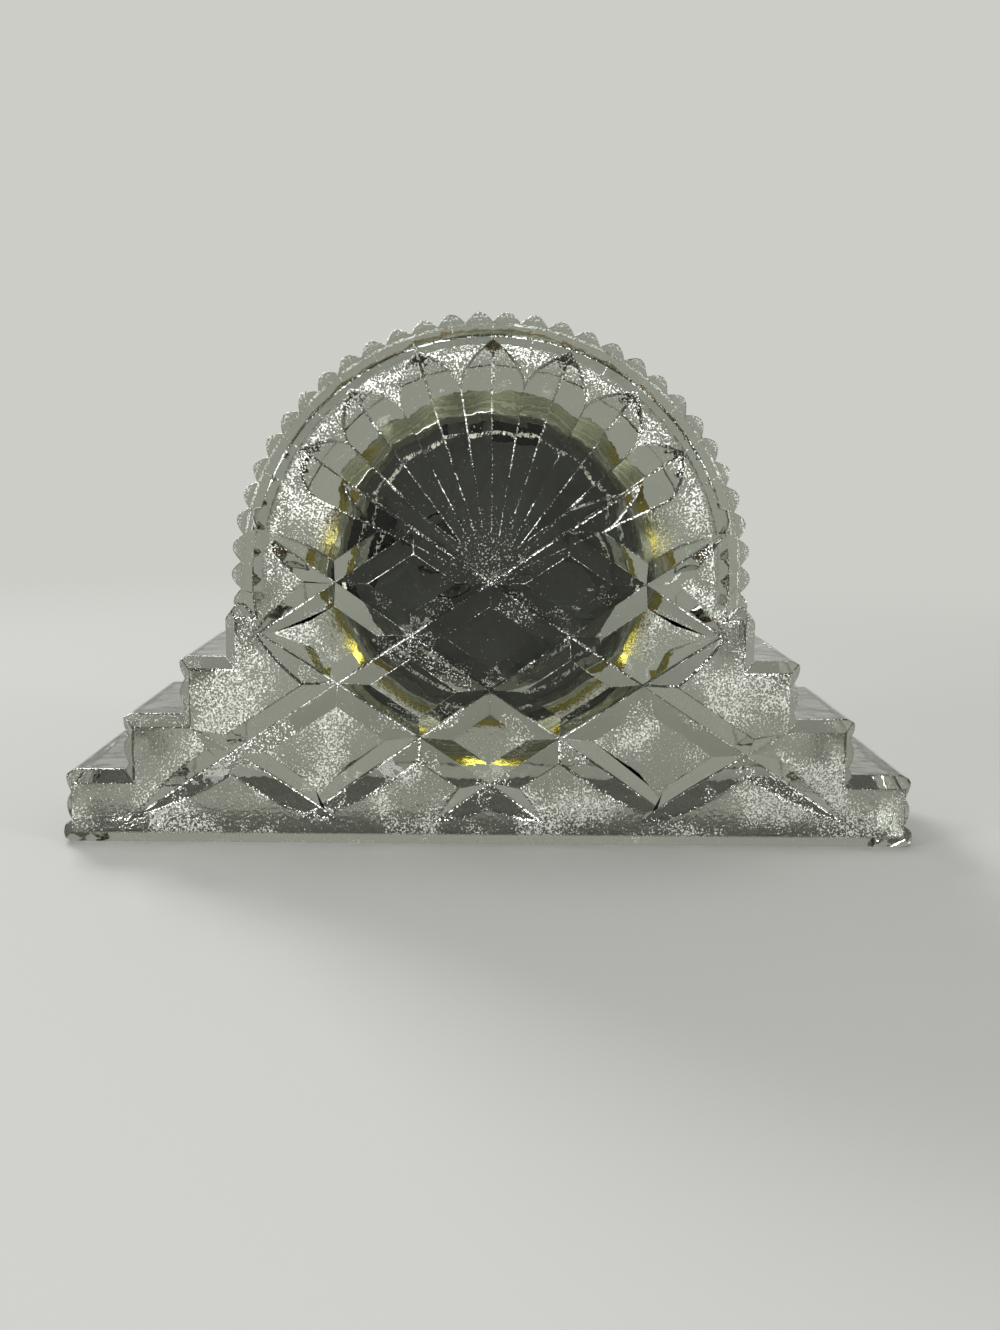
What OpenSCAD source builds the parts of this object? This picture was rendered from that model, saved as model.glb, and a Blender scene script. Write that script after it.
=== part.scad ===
// Crystal desk clock: a stepped block of cut crystal with a toothed arch, and a quartz clock insert
// that presses into a blind bore in its front face. Millimetres, +Z up, dial facing -Y.
// The origin is under the middle of the clock, bezel included. The cut pattern is on the back face,
// at +Y.

/* [Crystal] */
// Width across the foot
foot_width = 166; // [146:1:200]
// Depth of the crystal, from its front face to its cut back face
crystal_depth = 44; // [36:1:60]
// Radius of the arch, at the tips of its teeth
arch_radius = 49.8; // [46:0.2:61]
// Height of the arch's centre
arch_height = 52.3; // [46:0.1:62]
// Height of the bore's centre above the arch's
bore_raise = 1.2; // [0:0.1:2]
// Height of the lowest step
step_1_top = 14.4; // [12:0.1:18]
// Height of the middle step
step_2_top = 25.4; // [20:0.1:29]
// Height of the upper step
step_3_top = 36.7; // [30:0.1:43]
// Tread of the middle and upper steps
step_tread = 11.1; // [9:0.1:14]
// How far the lowest lobe stands out past the ones above it
foot_out = 1; // [0:0.1:2]
// Height of the upright shoulders beside the arch
shoulder_top = 46.8; // [44:0.1:56]
// How far the shoulders stand out past the teeth
shoulder_out = 1; // [0.4:0.1:2]
// Bevel along the edges of the front and back faces, across the face
bevel_face = 2.4; // [1.5:0.1:4]
// The same bevel, along the depth
bevel_depth = 2; // [1.5:0.1:4]

/* [Teeth and end lobes] */
// Angle between two teeth of the arch
tooth_pitch = 6.2; // [5:0.1:9]
// Depth of the notches between the teeth
tooth_depth = 2; // [1:0.1:2.6]
// Number of rounded lobes on each end of the middle and upper steps
lobes_per_step = 2; // [1:1:3]
// Depth of the notches between the lobes
lobe_depth = 1.2; // [0.6:0.1:2]
// Rounding of the outer edges of the steps
step_round = 1.2; // [0.5:0.1:2]

/* [Cut pattern] */
// Drop of the fan's hub below the arch's centre
hub_drop = 1; // [0:0.1:3]
// Half the spacing of the groove crossings, across
lattice_x = 14.75; // [12:0.05:18]
// Half the spacing of the groove crossings, up and down
lattice_z = 9.85; // [8:0.05:12]
// Half the width of a diagonal groove
groove_half = 3.6; // [2.5:0.05:4.4]
// Depth of a groove
groove_depth = 2.4; // [1.5:0.1:3.2]
// Angle between two rays of the fan
ray_pitch = 18.4; // [17:0.1:20]
// Number of rays on each side of the upright one
rays_each_side = 3; // [1:1:3]
// Plain border under the pattern
pattern_border = 5; // [3:0.1:7]

/* [Insert] */
// Radius of the blind bore in the crystal
bore_radius = 30.5; // [28:0.1:36]
// How far the insert's case reaches behind the crystal's front face
case_length = 17; // [17:0.1:21]
// How far the bezel's flange reaches past the bore
bezel_flange = 5; // [3:0.1:7]
// Height of the bezel's crown in front of the crystal
bezel_crown = 3.7; // [3.2:0.1:5]
// Wall of the case
case_wall = 1.4; // [1:0.1:2]
// Clearance of the grip band in the bore
grip_clearance = 0.1; // [0.05:0.05:0.2]

/* [Hands] */
// Hour hand, turned clockwise from 12
hour_angle = 305; // [0:0.5:359]
// Minute hand, turned clockwise from 12
minute_angle = 60; // [0:0.5:359]
// Second hand, turned clockwise from 12
second_angle = 210; // [0:1:359]
// Length of the hour hand
hour_length = 14.6; // [10:0.1:17]
// Length of the minute hand
minute_length = 21.6; // [16:0.1:23]
// Length of the second hand
second_length = 23.4; // [16:0.1:24]

/* [Hidden] */

$fn = 96;
small_fn = 32;
eps = 0.01;
slack = 0.06;   // radial room of a pivot or a sleeve that turns
touch = 0.03;   // radial room of a sleeve that is pressed on

// Crystal
half_depth = crystal_depth / 2;
crystal_middle = bezel_crown / 2;   // the crystal stands this far back, to centre the whole
foot_half = foot_width / 2;
shoulder_half = arch_radius + shoulder_out;
bevel_radius = arch_radius - tooth_depth - 0.2;   // just inside the notches
face_radius = bevel_radius - bevel_face;
bore_depth = case_length + 3;
bore_height = arch_height + bore_raise;
points_per_tooth = 6;
points_per_lobe = 8;

// Outline of one rounded bump, 0 at both ends and 1 at its middle
function bump(t) = sin(180 * (t - floor(t)));

// The arch with its teeth, as points round a full circle
function toothed_circle(radius, pitch, depth) =
    let (teeth = round(360 / pitch))
    [for (i = [0 : teeth * points_per_tooth - 1])
        let (t = i / points_per_tooth, r = radius - depth * (1 - bump(t)))
        [r * sin(360 * t / teeth), r * cos(360 * t / teeth)]];

// One lobed end, from low to high, rounded off at the top and on the foot
function rounding(away) =
    let (short = step_round - max(0, away))
    short > 0 ? step_round - sqrt(pow(step_round, 2) - pow(short, 2)) : 0;
function lobed_edge(half, low, high, lobes) =
    let (start = 0.25, count = ceil(lobes * points_per_lobe))
    [for (i = [count : -1 : 0])
        let (t = min(lobes, i / points_per_lobe), z = high - t * (high - low) / lobes,
            inset = lobe_depth * (1 - bump(start + t)) + rounding(high - z)
                + (low == 0 ? rounding(z) : 0),
            out = low == 0 && start + t > 2 ? foot_out * min(1, (start + t - 2) * 4) : 0)
        [half - inset + out, z]];

// A block seen from the front, cut back by the bevels of both faces
module bevelled_block(outline, reach, top) {
    edge = half_depth - bevel_depth;
    half = reach + 0.2;
    intersection() {
        translate([0, half_depth, 0])
            rotate([90, 0, 0])
                linear_extrude(crystal_depth)
                    polygon(outline);
        translate([0, 0, -eps])
            linear_extrude(top + 1)
                polygon([
                    [-half, -edge], [bevel_face - half, -half_depth],
                    [half - bevel_face, -half_depth], [half, -edge],
                    [half, edge], [half - bevel_face, half_depth],
                    [bevel_face - half, half_depth], [-half, edge]
                ]);
        rotate([90, 0, 90])
            translate([0, 0, -half])
                linear_extrude(2 * half)
                    polygon([
                        [-edge, 0], [edge, 0], [half_depth, bevel_face],
                        [half_depth, top - bevel_face], [edge, top],
                        [-edge, top], [-half_depth, top - bevel_face], [-half_depth, bevel_face]
                    ]);
    }
}

// One full-height step, lobed only above the step outside it
module step_block(half, low, top) {
    lobes = low > 0 ? lobes_per_step : lobes_per_step + 0.6;
    right = lobed_edge(half, low, top, lobes);
    left = [for (i = [len(right) - 1 : -1 : 0]) [-right[i][0], right[i][1]]];
    inner = half - lobe_depth;
    base = low > 0 ? [[inner, 0]] : [];
    base_left = low > 0 ? [[-inner, 0]] : [];
    bevelled_block(concat(base, right, left, base_left), half + (low > 0 ? 0 : foot_out), top);
}

module shoulder_block() {
    corner = 2.7;
    bevelled_block([
        [-shoulder_half, 0], [shoulder_half, 0],
        [shoulder_half, shoulder_top - corner], [shoulder_half - 2, shoulder_top],
        [2 - shoulder_half, shoulder_top], [-shoulder_half, shoulder_top - corner]
    ], shoulder_half, shoulder_top);
}

module arch_block() {
    tooth_end = bevel_depth + 0.9 * tooth_depth;
    clear_radius = arch_radius + 0.3;
    translate([0, half_depth, arch_height])
        rotate([90, 0, 0])
            intersection() {
                linear_extrude(crystal_depth)
                    polygon(toothed_circle(arch_radius, tooth_pitch, tooth_depth));
                // an arch larger than its height ends at the foot
                translate([-clear_radius, -arch_height, 0])
                    cube([2 * clear_radius, arch_height + clear_radius, crystal_depth]);
                rotate_extrude()
                    polygon([
                        [0, 0], [face_radius, 0], [bevel_radius, bevel_depth],
                        [clear_radius, tooth_end], [clear_radius, crystal_depth - tooth_end],
                        [bevel_radius, crystal_depth - bevel_depth],
                        [face_radius, crystal_depth], [0, crystal_depth]
                    ]);
            }
}

// A vee groove in the back face between two points of that face, [x, z], given from the hub. The
// ends run out to points as a round wheel leaves them, or straight where the start is a cone.
// The cutter stands proud of the face, so that it cuts cleanly.
run_steps = 4;
over = 0.02;    // how far a run-out goes on past the face, as a share of the depth
function run_share(t, cone) = (1 + over) * (cone ? t : 1 - pow(1 - t, 2)) - over;
module vee_groove(from, to, run_from, run_to, half = groove_half, cone = false) {
    proud = 0.6;
    span = to - from;
    length = norm(span);
    along = span / length;
    across = [-along[1], along[0]];
    margin = half * proud / groove_depth;
    steps_from = cone ? 1 : run_steps;
    stations = concat(
        [for (i = [0 : steps_from]) [run_from * i / steps_from, run_share(i / steps_from, cone)]],
        [for (i = [run_steps : -1 : 0]) [length - run_to * i / run_steps, run_share(i / run_steps, false)]]
    );
    last = len(stations) - 1;
    function at(s, w, y) =
        let (p = from + along * s + across * w) [p[0], half_depth + y, arch_height - hub_drop + p[1]];
    polyhedron(
        points = [for (st = stations, k = [-1, 0, 1])
            k == 0
                ? at(st[0], 0, -groove_depth * st[1])
                : at(st[0], k * (half * st[1] + margin), proud)],
        faces = concat(
            [[2, 1, 0], [3 * last, 3 * last + 1, 3 * last + 2]],
            [for (i = [0 : last - 1], side = [[0, 1, 4, 3], [1, 2, 5, 4], [2, 0, 3, 5]])
                [for (k = side) 3 * i + k]]
        )
    );
}

// The cut pattern, measured from the hub of the fan
slope = lattice_z / lattice_x;
lowest = pattern_border - arch_height + hub_drop;
// Where a groove that falls away from [x, z] reaches the lower border
function foot_of(x, z, fall = slope) = [x + (z - lowest) / fall, lowest];

module ray(angle) {
    reach = face_radius + hub_drop * cos(angle);
    widest = 0.8 * face_radius;
    half = widest * tan(ray_pitch / 2) * 1.03;
    direction = [sin(angle), cos(angle)];
    tip = reach - 0.6 - 1.4 * pow(abs(angle) / (rays_each_side * ray_pitch), 2);
    vee_groove([0, 0], direction * tip, widest, tip - widest, half, true);
}

module diagonals() {
    run = 17;
    rim = face_radius - 1.2;
    turn = atan(lattice_x / lattice_z);
    // through the hub, from the rim of the fan to the far corner of the foot
    vee_groove([-rim * sin(turn), rim * cos(turn)], foot_of(0, 0), run, 24);
    // through the outer crossings at hub height
    vee_groove([-3.02 * lattice_x, 1.02 * lattice_z], foot_of(-2 * lattice_x, 0, 0.7), run, run);
    // from the rim, below hub height
    vee_groove([-3.1 * lattice_x, -0.9 * lattice_z], foot_of(-2 * lattice_x, -2 * lattice_z), run, 12);
    // the short upper one that rises to the fan
    vee_groove([-3.1 * lattice_x, -1.1 * lattice_z], [-0.85 * lattice_x, 1.15 * lattice_z], run, 4);
    // the outer one, over the steps
    outer = [-3.88 * lattice_x, -2.9 * lattice_z];
    vee_groove(outer, foot_of(outer[0], outer[1], 0.63), 14, 14);
}

module cut_pattern() {
    for (i = [-rays_each_side : rays_each_side])
        ray(i * ray_pitch);
    diagonals();
    mirror([1, 0, 0])
        diagonals();
}

module crystal_body() {
    color([0.86, 0.88, 0.84, 0.4])
        translate([0, crystal_middle, 0])
            difference() {
                union() {
                    arch_block();
                    shoulder_block();
                    step_block(foot_half - foot_out, 0, step_1_top);
                    step_block(foot_half - foot_out - step_tread, step_1_top, step_2_top);
                    step_block(foot_half - foot_out - 2 * step_tread, step_2_top, step_3_top);
                }
                translate([0, -half_depth - 1, bore_height])
                    rotate([-90, 0, 0])
                        cylinder(r = bore_radius, h = bore_depth + 1);
                cut_pattern();
            }
}

// Insert. Its own axis starts on the crystal's front face and points out of the dial.
module on_seat() {
    translate([0, crystal_middle - half_depth, bore_height])
        rotate([90, 0, 0])
            children();
}

// Radii, from the bore inwards
bezel_radius = bore_radius + bezel_flange;
skirt_outer = bore_radius - 0.7;
skirt_inner = skirt_outer - 0.55;
case_radius = skirt_inner - 0.1;
case_inner = case_radius - case_wall;
band_inner = case_radius - 0.5 + touch;
fin_radius = bore_radius - grip_clearance;
lens_radius = case_radius + 0.05;
dial_radius = case_inner - 0.15;
ledge_inner = case_inner - 1.6;

// Heights along the insert's axis
rim_front = 0.4;
gasket_front = rim_front + 0.4;
lens_edge = gasket_front + 1.1;
lens_crown = gasket_front + 2.1;
lip_back = lens_edge + 0.15;
dial_back = -4.6;
dial_front = dial_back + 0.5;
front_plate_back = dial_back - 1.8;
rear_plate_front = front_plate_back - 6.4;
rear_plate_back = rear_plate_front - 1;
train_plate_front = rear_plate_front + 2.2;
train_plate_back = train_plate_front - 0.5;
case_back = -case_length;
case_floor = case_back + 1.4;

// Layers of the wheels, counted from the rear plate
wheel_thick = 0.4;
pinion_thick = 0.6;
layer_seconds = rear_plate_front + 0.3;
layer_fifth = rear_plate_front + 1.05;
layer_third = train_plate_front + 0.3;
layer_centre = train_plate_front + 1.1;
layer_minute = train_plate_front + 2;
layer_hour = train_plate_front + 3;

// Teeth and modules of the train
seconds_pinion_teeth = 8;
third_teeth = 60;
third_module = 0.18;
third_pinion_teeth = 8;
centre_teeth = 64;
centre_module = 0.17;
seconds_teeth = 36;
fifth_pinion_teeth = 6;
seconds_module = 0.2;
fifth_teeth = 30;
rotor_teeth = 6;
rotor_module = 0.18;
cannon_teeth = 12;
minute_teeth = 36;
minute_module = 0.25;
minute_pinion_teeth = 10;
hour_teeth = 40;
hour_module = 0.24;
setting_teeth = 12;

function apart(teeth_a, teeth_b, gear_module) = gear_module * (teeth_a + teeth_b) / 2;
function polar(distance, angle) = [distance * cos(angle), distance * sin(angle)];

// Where each arbor stands, seen from the dial side
third_angle = 150;
third_at = polar(apart(seconds_pinion_teeth, third_teeth, third_module), third_angle);
fifth_angle = -60;
fifth_at = polar(apart(fifth_pinion_teeth, seconds_teeth, seconds_module), fifth_angle);
rotor_angle = -30;
rotor_at = fifth_at + polar(apart(rotor_teeth, fifth_teeth, rotor_module), rotor_angle);
works_angle = 15;
works_at = polar(apart(cannon_teeth, minute_teeth, minute_module), works_angle);
setting_at = works_at + polar(apart(setting_teeth, minute_teeth, minute_module), works_angle);
battery_at = [-14, -6.5];
battery_radius = 5.8;
battery_thick = 5.4;
battery_back = case_floor + 0.9;
battery_front = battery_back + battery_thick;
plate_radius = 20.5;
train_plate_at = [1, 0];
train_plate_radius = 9.5;
post_angles = [90, 200, 345];
pillar_angles = [0, 60, 165, 262];
pillar_circle = 18;
pillar_radius = 1.6;
pilot_radius = 0.65;
screw_shank = 0.6;
arbor = 0.25;
seconds_arbor = 0.33;
cannon_bore = seconds_arbor + slack + 0.01;
cannon_tube = 0.85;
hour_bore = cannon_tube + slack;
hour_tube = 1.4;
centre_tube_bore = hour_tube + 0.1;
centre_tube = 2.4;
stem_radius = 0.8;
hour_hand_back = dial_front + 0.8;
minute_hand_back = dial_front + 1.6;
second_hand_back = dial_front + 2.5;
hand_thick = 0.3;

// A gear with straight-flanked teeth, one tooth centred at the phase angle
module gear(teeth, gear_module, thick, phase = 0) {
    pitch_radius = teeth * gear_module / 2;
    tip = pitch_radius + 0.85 * gear_module;
    root = pitch_radius - 1.15 * gear_module;
    step = 360 / teeth;
    function on_tooth(i, radius, share) =
        let (angle = phase + (i + share) * step) [radius * cos(angle), radius * sin(angle)];
    linear_extrude(thick)
        polygon([for (i = [0 : teeth - 1], corner = [
            [root, -0.3], [pitch_radius, -0.2], [tip, -0.085],
            [tip, 0.085], [pitch_radius, 0.2], [root, 0.3]
        ]) on_tooth(i, corner[0], corner[1])]);
}

// Phase of a gear whose gap faces a mate's tooth in that direction
function gap_towards(direction, teeth) = direction + 180 / teeth;

module tube(outer, inner, low, high) {
    translate([0, 0, low])
        difference() {
            cylinder(r = outer, h = high - low);
            translate([0, 0, -1])
                cylinder(r = inner, h = high - low + 2);
        }
}

module rod(radius, low, high, fn = small_fn) {
    translate([0, 0, low])
        cylinder(r = radius, h = high - low, $fn = fn);
}

module bezel_ring() {
    bead = (bezel_radius + lens_radius) / 2;
    lip = lens_radius - 1.5;
    color([0.86, 0.68, 0.3])
        on_seat()
            rotate_extrude()
                polygon([
                    [skirt_inner, -4], [skirt_outer, -4], [skirt_outer, 0],
                    [bezel_radius, 0], [bezel_radius, 0.7], [bezel_radius - 0.4, 1.3],
                    [bezel_radius - 1.6, 1.7], [bezel_radius - 1.8, 2.3],
                    [bead + 0.6, bezel_crown - 0.3], [bead - 0.6, bezel_crown],
                    [bead - 1.6, bezel_crown - 0.1], [lip + 0.6, lip_back + 0.9],
                    [lip, lip_back + 0.5], [lip, lip_back], [skirt_inner, lip_back]
                ]);
}

module lens() {
    arc_steps = 12;
    dome = [for (i = [0 : arc_steps])
        let (r = lens_radius * (1 - i / arc_steps))
        [r, lens_edge + (lens_crown - lens_edge) * (1 - pow(r / lens_radius, 2))]];
    color([0.9, 0.95, 0.97, 0.3])
        on_seat()
            rotate_extrude()
                polygon(concat([[0, gasket_front], [lens_radius, gasket_front]], dome));
}

module lens_gasket() {
    color([0.15, 0.15, 0.15])
        on_seat()
            tube(case_radius - 0.05, dial_radius - 0.6, rim_front, gasket_front);
}

module reflector_ring() {
    color([0.93, 0.9, 0.82])
        on_seat()
            rotate_extrude()
                polygon([
                    [dial_radius - 1.1, dial_front], [dial_radius, dial_front],
                    [dial_radius, rim_front], [dial_radius - 0.5, rim_front]
                ]);
}

module dial() {
    color([0.96, 0.95, 0.9])
        on_seat()
            tube(dial_radius, centre_tube + touch, dial_back, dial_front);
}

module grip_band() {
    fins = 5;
    band_low = -13;
    fin_gap = 1.7;
    color([0.9, 0.89, 0.8])
        on_seat()
            rotate_extrude()
                polygon(concat(
                    [[band_inner, band_low + fins * fin_gap], [band_inner, band_low]],
                    [for (i = [0 : fins - 1], corner = [[0, 0], [1, 0.35], [1, 0.75], [0, 1.2]])
                        [case_radius + corner[0] * (fin_radius - case_radius),
                            band_low + i * fin_gap + corner[1]]],
                    [[case_radius, band_low + fins * fin_gap]]
                ));
}

hatch_radius = 7.3;
hatch_neck = 6.1;
hatch_lug = 7.1;
hatch_lip = 0.8;
lug_angle = 12;
lug_start = 30;
hatch_turn = 60;

// A pair of opposite sectors, for the hatch's lugs and the notches that they enter by
module sector_pair(radius, half_angle, turn, thick) {
    reach = radius + 1;
    linear_extrude(thick)
        intersection() {
            circle(r = radius);
            for (side = [0, 180])
                rotate(turn + side)
                    polygon([
                        [0, 0], [reach, -reach * tan(half_angle)], [reach, reach * tan(half_angle)]
                    ]);
        }
}

module rear_case() {
    groove_low = -13 - touch;
    groove_high = -13 + 8.5 + touch;
    color([0.17, 0.17, 0.18])
        on_seat()
            difference() {
                rotate_extrude()
                    polygon([
                        [0, case_back], [case_radius - 0.8, case_back], [case_radius, case_back + 0.8],
                        [case_radius, groove_low], [case_radius - 0.5, groove_low],
                        [case_radius - 0.5, groove_high], [case_radius, groove_high],
                        [case_radius, rim_front], [case_inner, rim_front],
                        [case_inner, front_plate_back], [ledge_inner, front_plate_back],
                        [ledge_inner, front_plate_back - 1.4], [case_inner, front_plate_back - 2.6],
                        [case_inner, case_floor], [0, case_floor]
                    ]);
                translate([setting_at[0], setting_at[1], case_back - 1])
                    cylinder(r = stem_radius + 0.3, h = 4, $fn = small_fn);
                translate([battery_at[0], battery_at[1], case_back - 1]) {
                    cylinder(r = hatch_radius + 0.2, h = 1 + hatch_lip);
                    cylinder(r = hatch_neck + 0.1, h = 4);
                    sector_pair(hatch_lug + 0.15, lug_angle + 3, lug_start - hatch_turn, 4);
                }
                // pry notch at the rim, for a coin or a thumbnail
                translate([-3, case_radius - 1.2, case_back - 1])
                    cube([6, 3, 1.9]);
            }
}

module pillar_places() {
    for (angle = pillar_angles)
        translate([pillar_circle * cos(angle), pillar_circle * sin(angle), 0])
            children();
}

module pivot_hole(at, low, high, radius = arbor + slack) {
    translate([at[0], at[1], low])
        cylinder(r = radius, h = high - low, $fn = small_fn);
}

module movement_front_plate() {
    pocket = front_plate_back + 0.6;
    color([0.25, 0.25, 0.27])
        on_seat()
            difference() {
                union() {
                    rod(case_inner - 0.15, front_plate_back, dial_back, $fn);
                    rod(centre_tube, dial_back, dial_front + 0.4);
                    pillar_places()
                        rod(pillar_radius, rear_plate_front, front_plate_back + eps);
                }
                pivot_hole([0, 0], front_plate_back - 1, dial_front + 1, centre_tube_bore);
                for (at = [third_at, works_at, setting_at])
                    pivot_hole(at, front_plate_back - 1, pocket);
                pillar_places()
                    rod(pilot_radius, rear_plate_front - 1, rear_plate_front + 5);
            }
}

module movement_rear_plate() {
    color([0.22, 0.22, 0.24])
        on_seat()
            difference() {
                rod(plate_radius, rear_plate_back, rear_plate_front, $fn);
                for (at = [fifth_at, rotor_at])
                    pivot_hole(at, rear_plate_back - 1, rear_plate_front + 1);
                pivot_hole([0, 0], rear_plate_back - 1, rear_plate_front + 1, seconds_arbor + slack);
                pivot_hole(setting_at, rear_plate_back - 1, rear_plate_front + 1, stem_radius + slack);
                pivot_hole(battery_at, rear_plate_back - 1, rear_plate_front + 1, battery_radius + 0.3);
                pillar_places()
                    rod(pilot_radius + 0.05, rear_plate_back - 1, rear_plate_front + 1);
                translate([coil_low - 0.9, coil_y - flange_radius - 0.2, rear_plate_back - 1])
                    cube([coil_length + 1.8, 2 * flange_radius + 0.4, 3]);
            }
}

module train_plate() {
    color([0.72, 0.6, 0.32])
        on_seat()
            difference() {
                union() {
                    translate([train_plate_at[0], train_plate_at[1], 0])
                        rod(train_plate_radius, train_plate_back, train_plate_front, $fn);
                    for (angle = post_angles)
                        translate([train_plate_at[0], train_plate_at[1], 0])
                            rotate(angle)
                                translate([8.3, 0, 0])
                                    rod(0.8, rear_plate_front, train_plate_back + eps);
                }
                for (at = [third_at, works_at, fifth_at, rotor_at])
                    pivot_hole(at, train_plate_back - 1, train_plate_front + 1);
                pivot_hole([0, 0], train_plate_back - 1, train_plate_front + 1, 1.1);
            }
}

module plate_screws() {
    head = 0.8;
    color([0.75, 0.75, 0.77])
        on_seat()
            pillar_places()
                difference() {
                    union() {
                        rod(screw_shank, rear_plate_back - eps, rear_plate_front + 4.6);
                        rod(1.3, rear_plate_back - head, rear_plate_back);
                    }
                    translate([-2, -0.15, rear_plate_back - head - 1])
                        cube([4, 0.3, 1.35]);
                }
}

coil_low = -3.5;
coil_length = 14;
coil_y = -13;
coil_radius = 1.95;
flange_radius = 2.3;
bobbin_radius = 1.35;
core_thick = 0.8;
core_width = 2;
stator_thick = 0.6;
core_back = rear_plate_front + stator_thick;
coil_axis = core_back + core_thick / 2;
magnet_radius = 1.5;

module stator() {
    color([0.6, 0.6, 0.62])
        on_seat()
            translate([0, 0, rear_plate_front])
                difference() {
                    linear_extrude(stator_thick)
                        polygon([
                            [-6.5, -14.2], [-4.7, -14.2], [-4.7, -9.4], [2.4, -8.3],
                            [7.4, -8.3], [11.7, -9.4], [11.7, -14.2], [13.6, -14.2],
                            [13.6, -8], [8.2, -2.9], [3.3, -2.9], [2.4, -6.4], [-6.5, -8]
                        ]);
                    pivot_hole(rotor_at, -1, 2, magnet_radius + 0.35);
                    pivot_hole(fifth_at, -1, 2, 1.05);
                    pivot_hole([0, 0], -1, 2, seconds_teeth * seconds_module / 2 + 0.5);
                }
}

module coil_core() {
    color([0.55, 0.55, 0.57])
        on_seat()
            translate([-6.5, coil_y - core_width / 2, core_back])
                cube([20.1, core_width, core_thick]);
}

module along_coil() {
    on_seat()
        translate([coil_low, coil_y, coil_axis])
            rotate([0, 90, 0])
                children();
}

module coil_bobbin() {
    flange = 0.6;
    color([0.93, 0.93, 0.88])
        along_coil()
            difference() {
                union() {
                    rod(bobbin_radius, -flange + eps, coil_length + flange - eps);
                    rod(flange_radius, -flange, 0);
                    rod(flange_radius, coil_length, coil_length + flange);
                }
                translate([-core_thick / 2 - touch, -core_width / 2 - touch, -2])
                    cube([core_thick + 2 * touch, core_width + 2 * touch, coil_length + 4]);
            }
}

module coil_winding() {
    color([0.72, 0.4, 0.2])
        along_coil()
            tube(coil_radius, bobbin_radius + touch, touch, coil_length - touch);
}

board_front = rear_plate_front + 0.6;
module circuit_board() {
    color([0.1, 0.35, 0.2])
        on_seat()
            translate([-11, 10.5, rear_plate_front])
                cube([15, 6, board_front - rear_plate_front]);
}

module quartz_can() {
    color([0.8, 0.8, 0.82])
        on_seat()
            translate([-9.8, 14.8, board_front + 1])
                rotate([0, 90, 0])
                    rod(1, 0, 6);
}

module chip_cover() {
    color([0.05, 0.05, 0.05])
        on_seat()
            translate([0.5, 13.5, board_front])
                rotate_extrude($fn = small_fn)
                    polygon([[0, 0], [2.1, 0], [1.8, 0.45], [1, 0.8], [0, 0.9]]);
}

module battery() {
    step = 0.5;
    color([0.78, 0.78, 0.8])
        on_seat()
            translate([battery_at[0], battery_at[1], 0])
                rotate_extrude()
                    polygon([
                        [0, battery_back], [battery_radius - 0.2, battery_back],
                        [battery_radius, battery_back + 0.2], [battery_radius, battery_front - step],
                        [battery_radius - 0.9, battery_front - step],
                        [battery_radius - 0.9, battery_front], [0, battery_front]
                    ]);
}

module battery_contact_positive() {
    strip = 0.2;
    inner = battery_radius + 0.05;
    color([0.85, 0.75, 0.45])
        on_seat() {
            translate([battery_at[0], battery_at[1], rear_plate_front])
                linear_extrude(2.6)
                    intersection() {
                        difference() {
                            circle(r = inner + strip);
                            circle(r = inner);
                        }
                        polygon([[0, 0], polar(12, 50), polar(12, 95), polar(12, 140)]);
                    }
            translate([battery_at[0] + 0.6, battery_at[1] + inner + 0.02, rear_plate_front])
                cube([1.8, 10.4 - battery_at[1] - inner, strip]);
        }
}

module battery_contact_negative() {
    strip = 0.2;
    arm_back = battery_front + touch;
    reach = battery_radius + 0.7;
    width = 2.4;
    color([0.85, 0.75, 0.45])
        on_seat()
            translate([battery_at[0] - width / 2, battery_at[1], 0])
                rotate([90, 0, 90])
                    linear_extrude(width)
                        polygon([
                            [0, arm_back], [0, arm_back + strip], [-reach, arm_back + strip],
                            [-reach, rear_plate_front + strip], [-reach - 1.2, rear_plate_front + strip],
                            [-reach - 1.2, rear_plate_front], [strip - reach, rear_plate_front],
                            [strip - reach, arm_back]
                        ]);
}

// Moving pieces
module place(at) {
    on_seat()
        translate([at[0], at[1], 0])
            children();
}

module lift(z) {
    translate([0, 0, z])
        children();
}

module hour_wheel() {
    color([0.85, 0.72, 0.4])
        on_seat() {
            difference() {
                lift(layer_hour)
                    gear(hour_teeth, hour_module, wheel_thick + 0.1, works_angle);
                rod(hour_bore, layer_hour - 1, layer_hour + 2);
            }
            tube(hour_tube, hour_bore, layer_hour, hour_hand_back + hand_thick);
        }
}

// A spade hand pointing up, with a collar at its centre
module spade_hand(length, width, bore, collar, back) {
    spade = length * 0.74;
    lift(back)
        difference() {
            union() {
                cylinder(r = collar, h = hand_thick);
                linear_extrude(hand_thick)
                    polygon([
                        [-width * 0.5, -collar * 1.6], [width * 0.5, -collar * 1.6],
                        [width * 0.32, spade], [-width * 0.32, spade]
                    ]);
                for (side = [-1, 1])
                    translate([side * width * 0.72, spade, 0])
                        cylinder(r = width * 0.78, h = hand_thick, $fn = small_fn);
                linear_extrude(hand_thick)
                    polygon([
                        [-width * 1.45, spade + width * 0.3], [width * 1.45, spade + width * 0.3],
                        [width * 0.28, length * 0.93], [0, length], [-width * 0.28, length * 0.93]
                    ]);
            }
            lift(-1)
                cylinder(r = bore, h = hand_thick + 2, $fn = small_fn);
        }
}

module hour_hand() {
    color([0.07, 0.07, 0.08])
        on_seat()
            rotate(-hour_angle)
                spade_hand(hour_length, 1.3, hour_tube + touch, 2.3, hour_hand_back);
}

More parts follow.
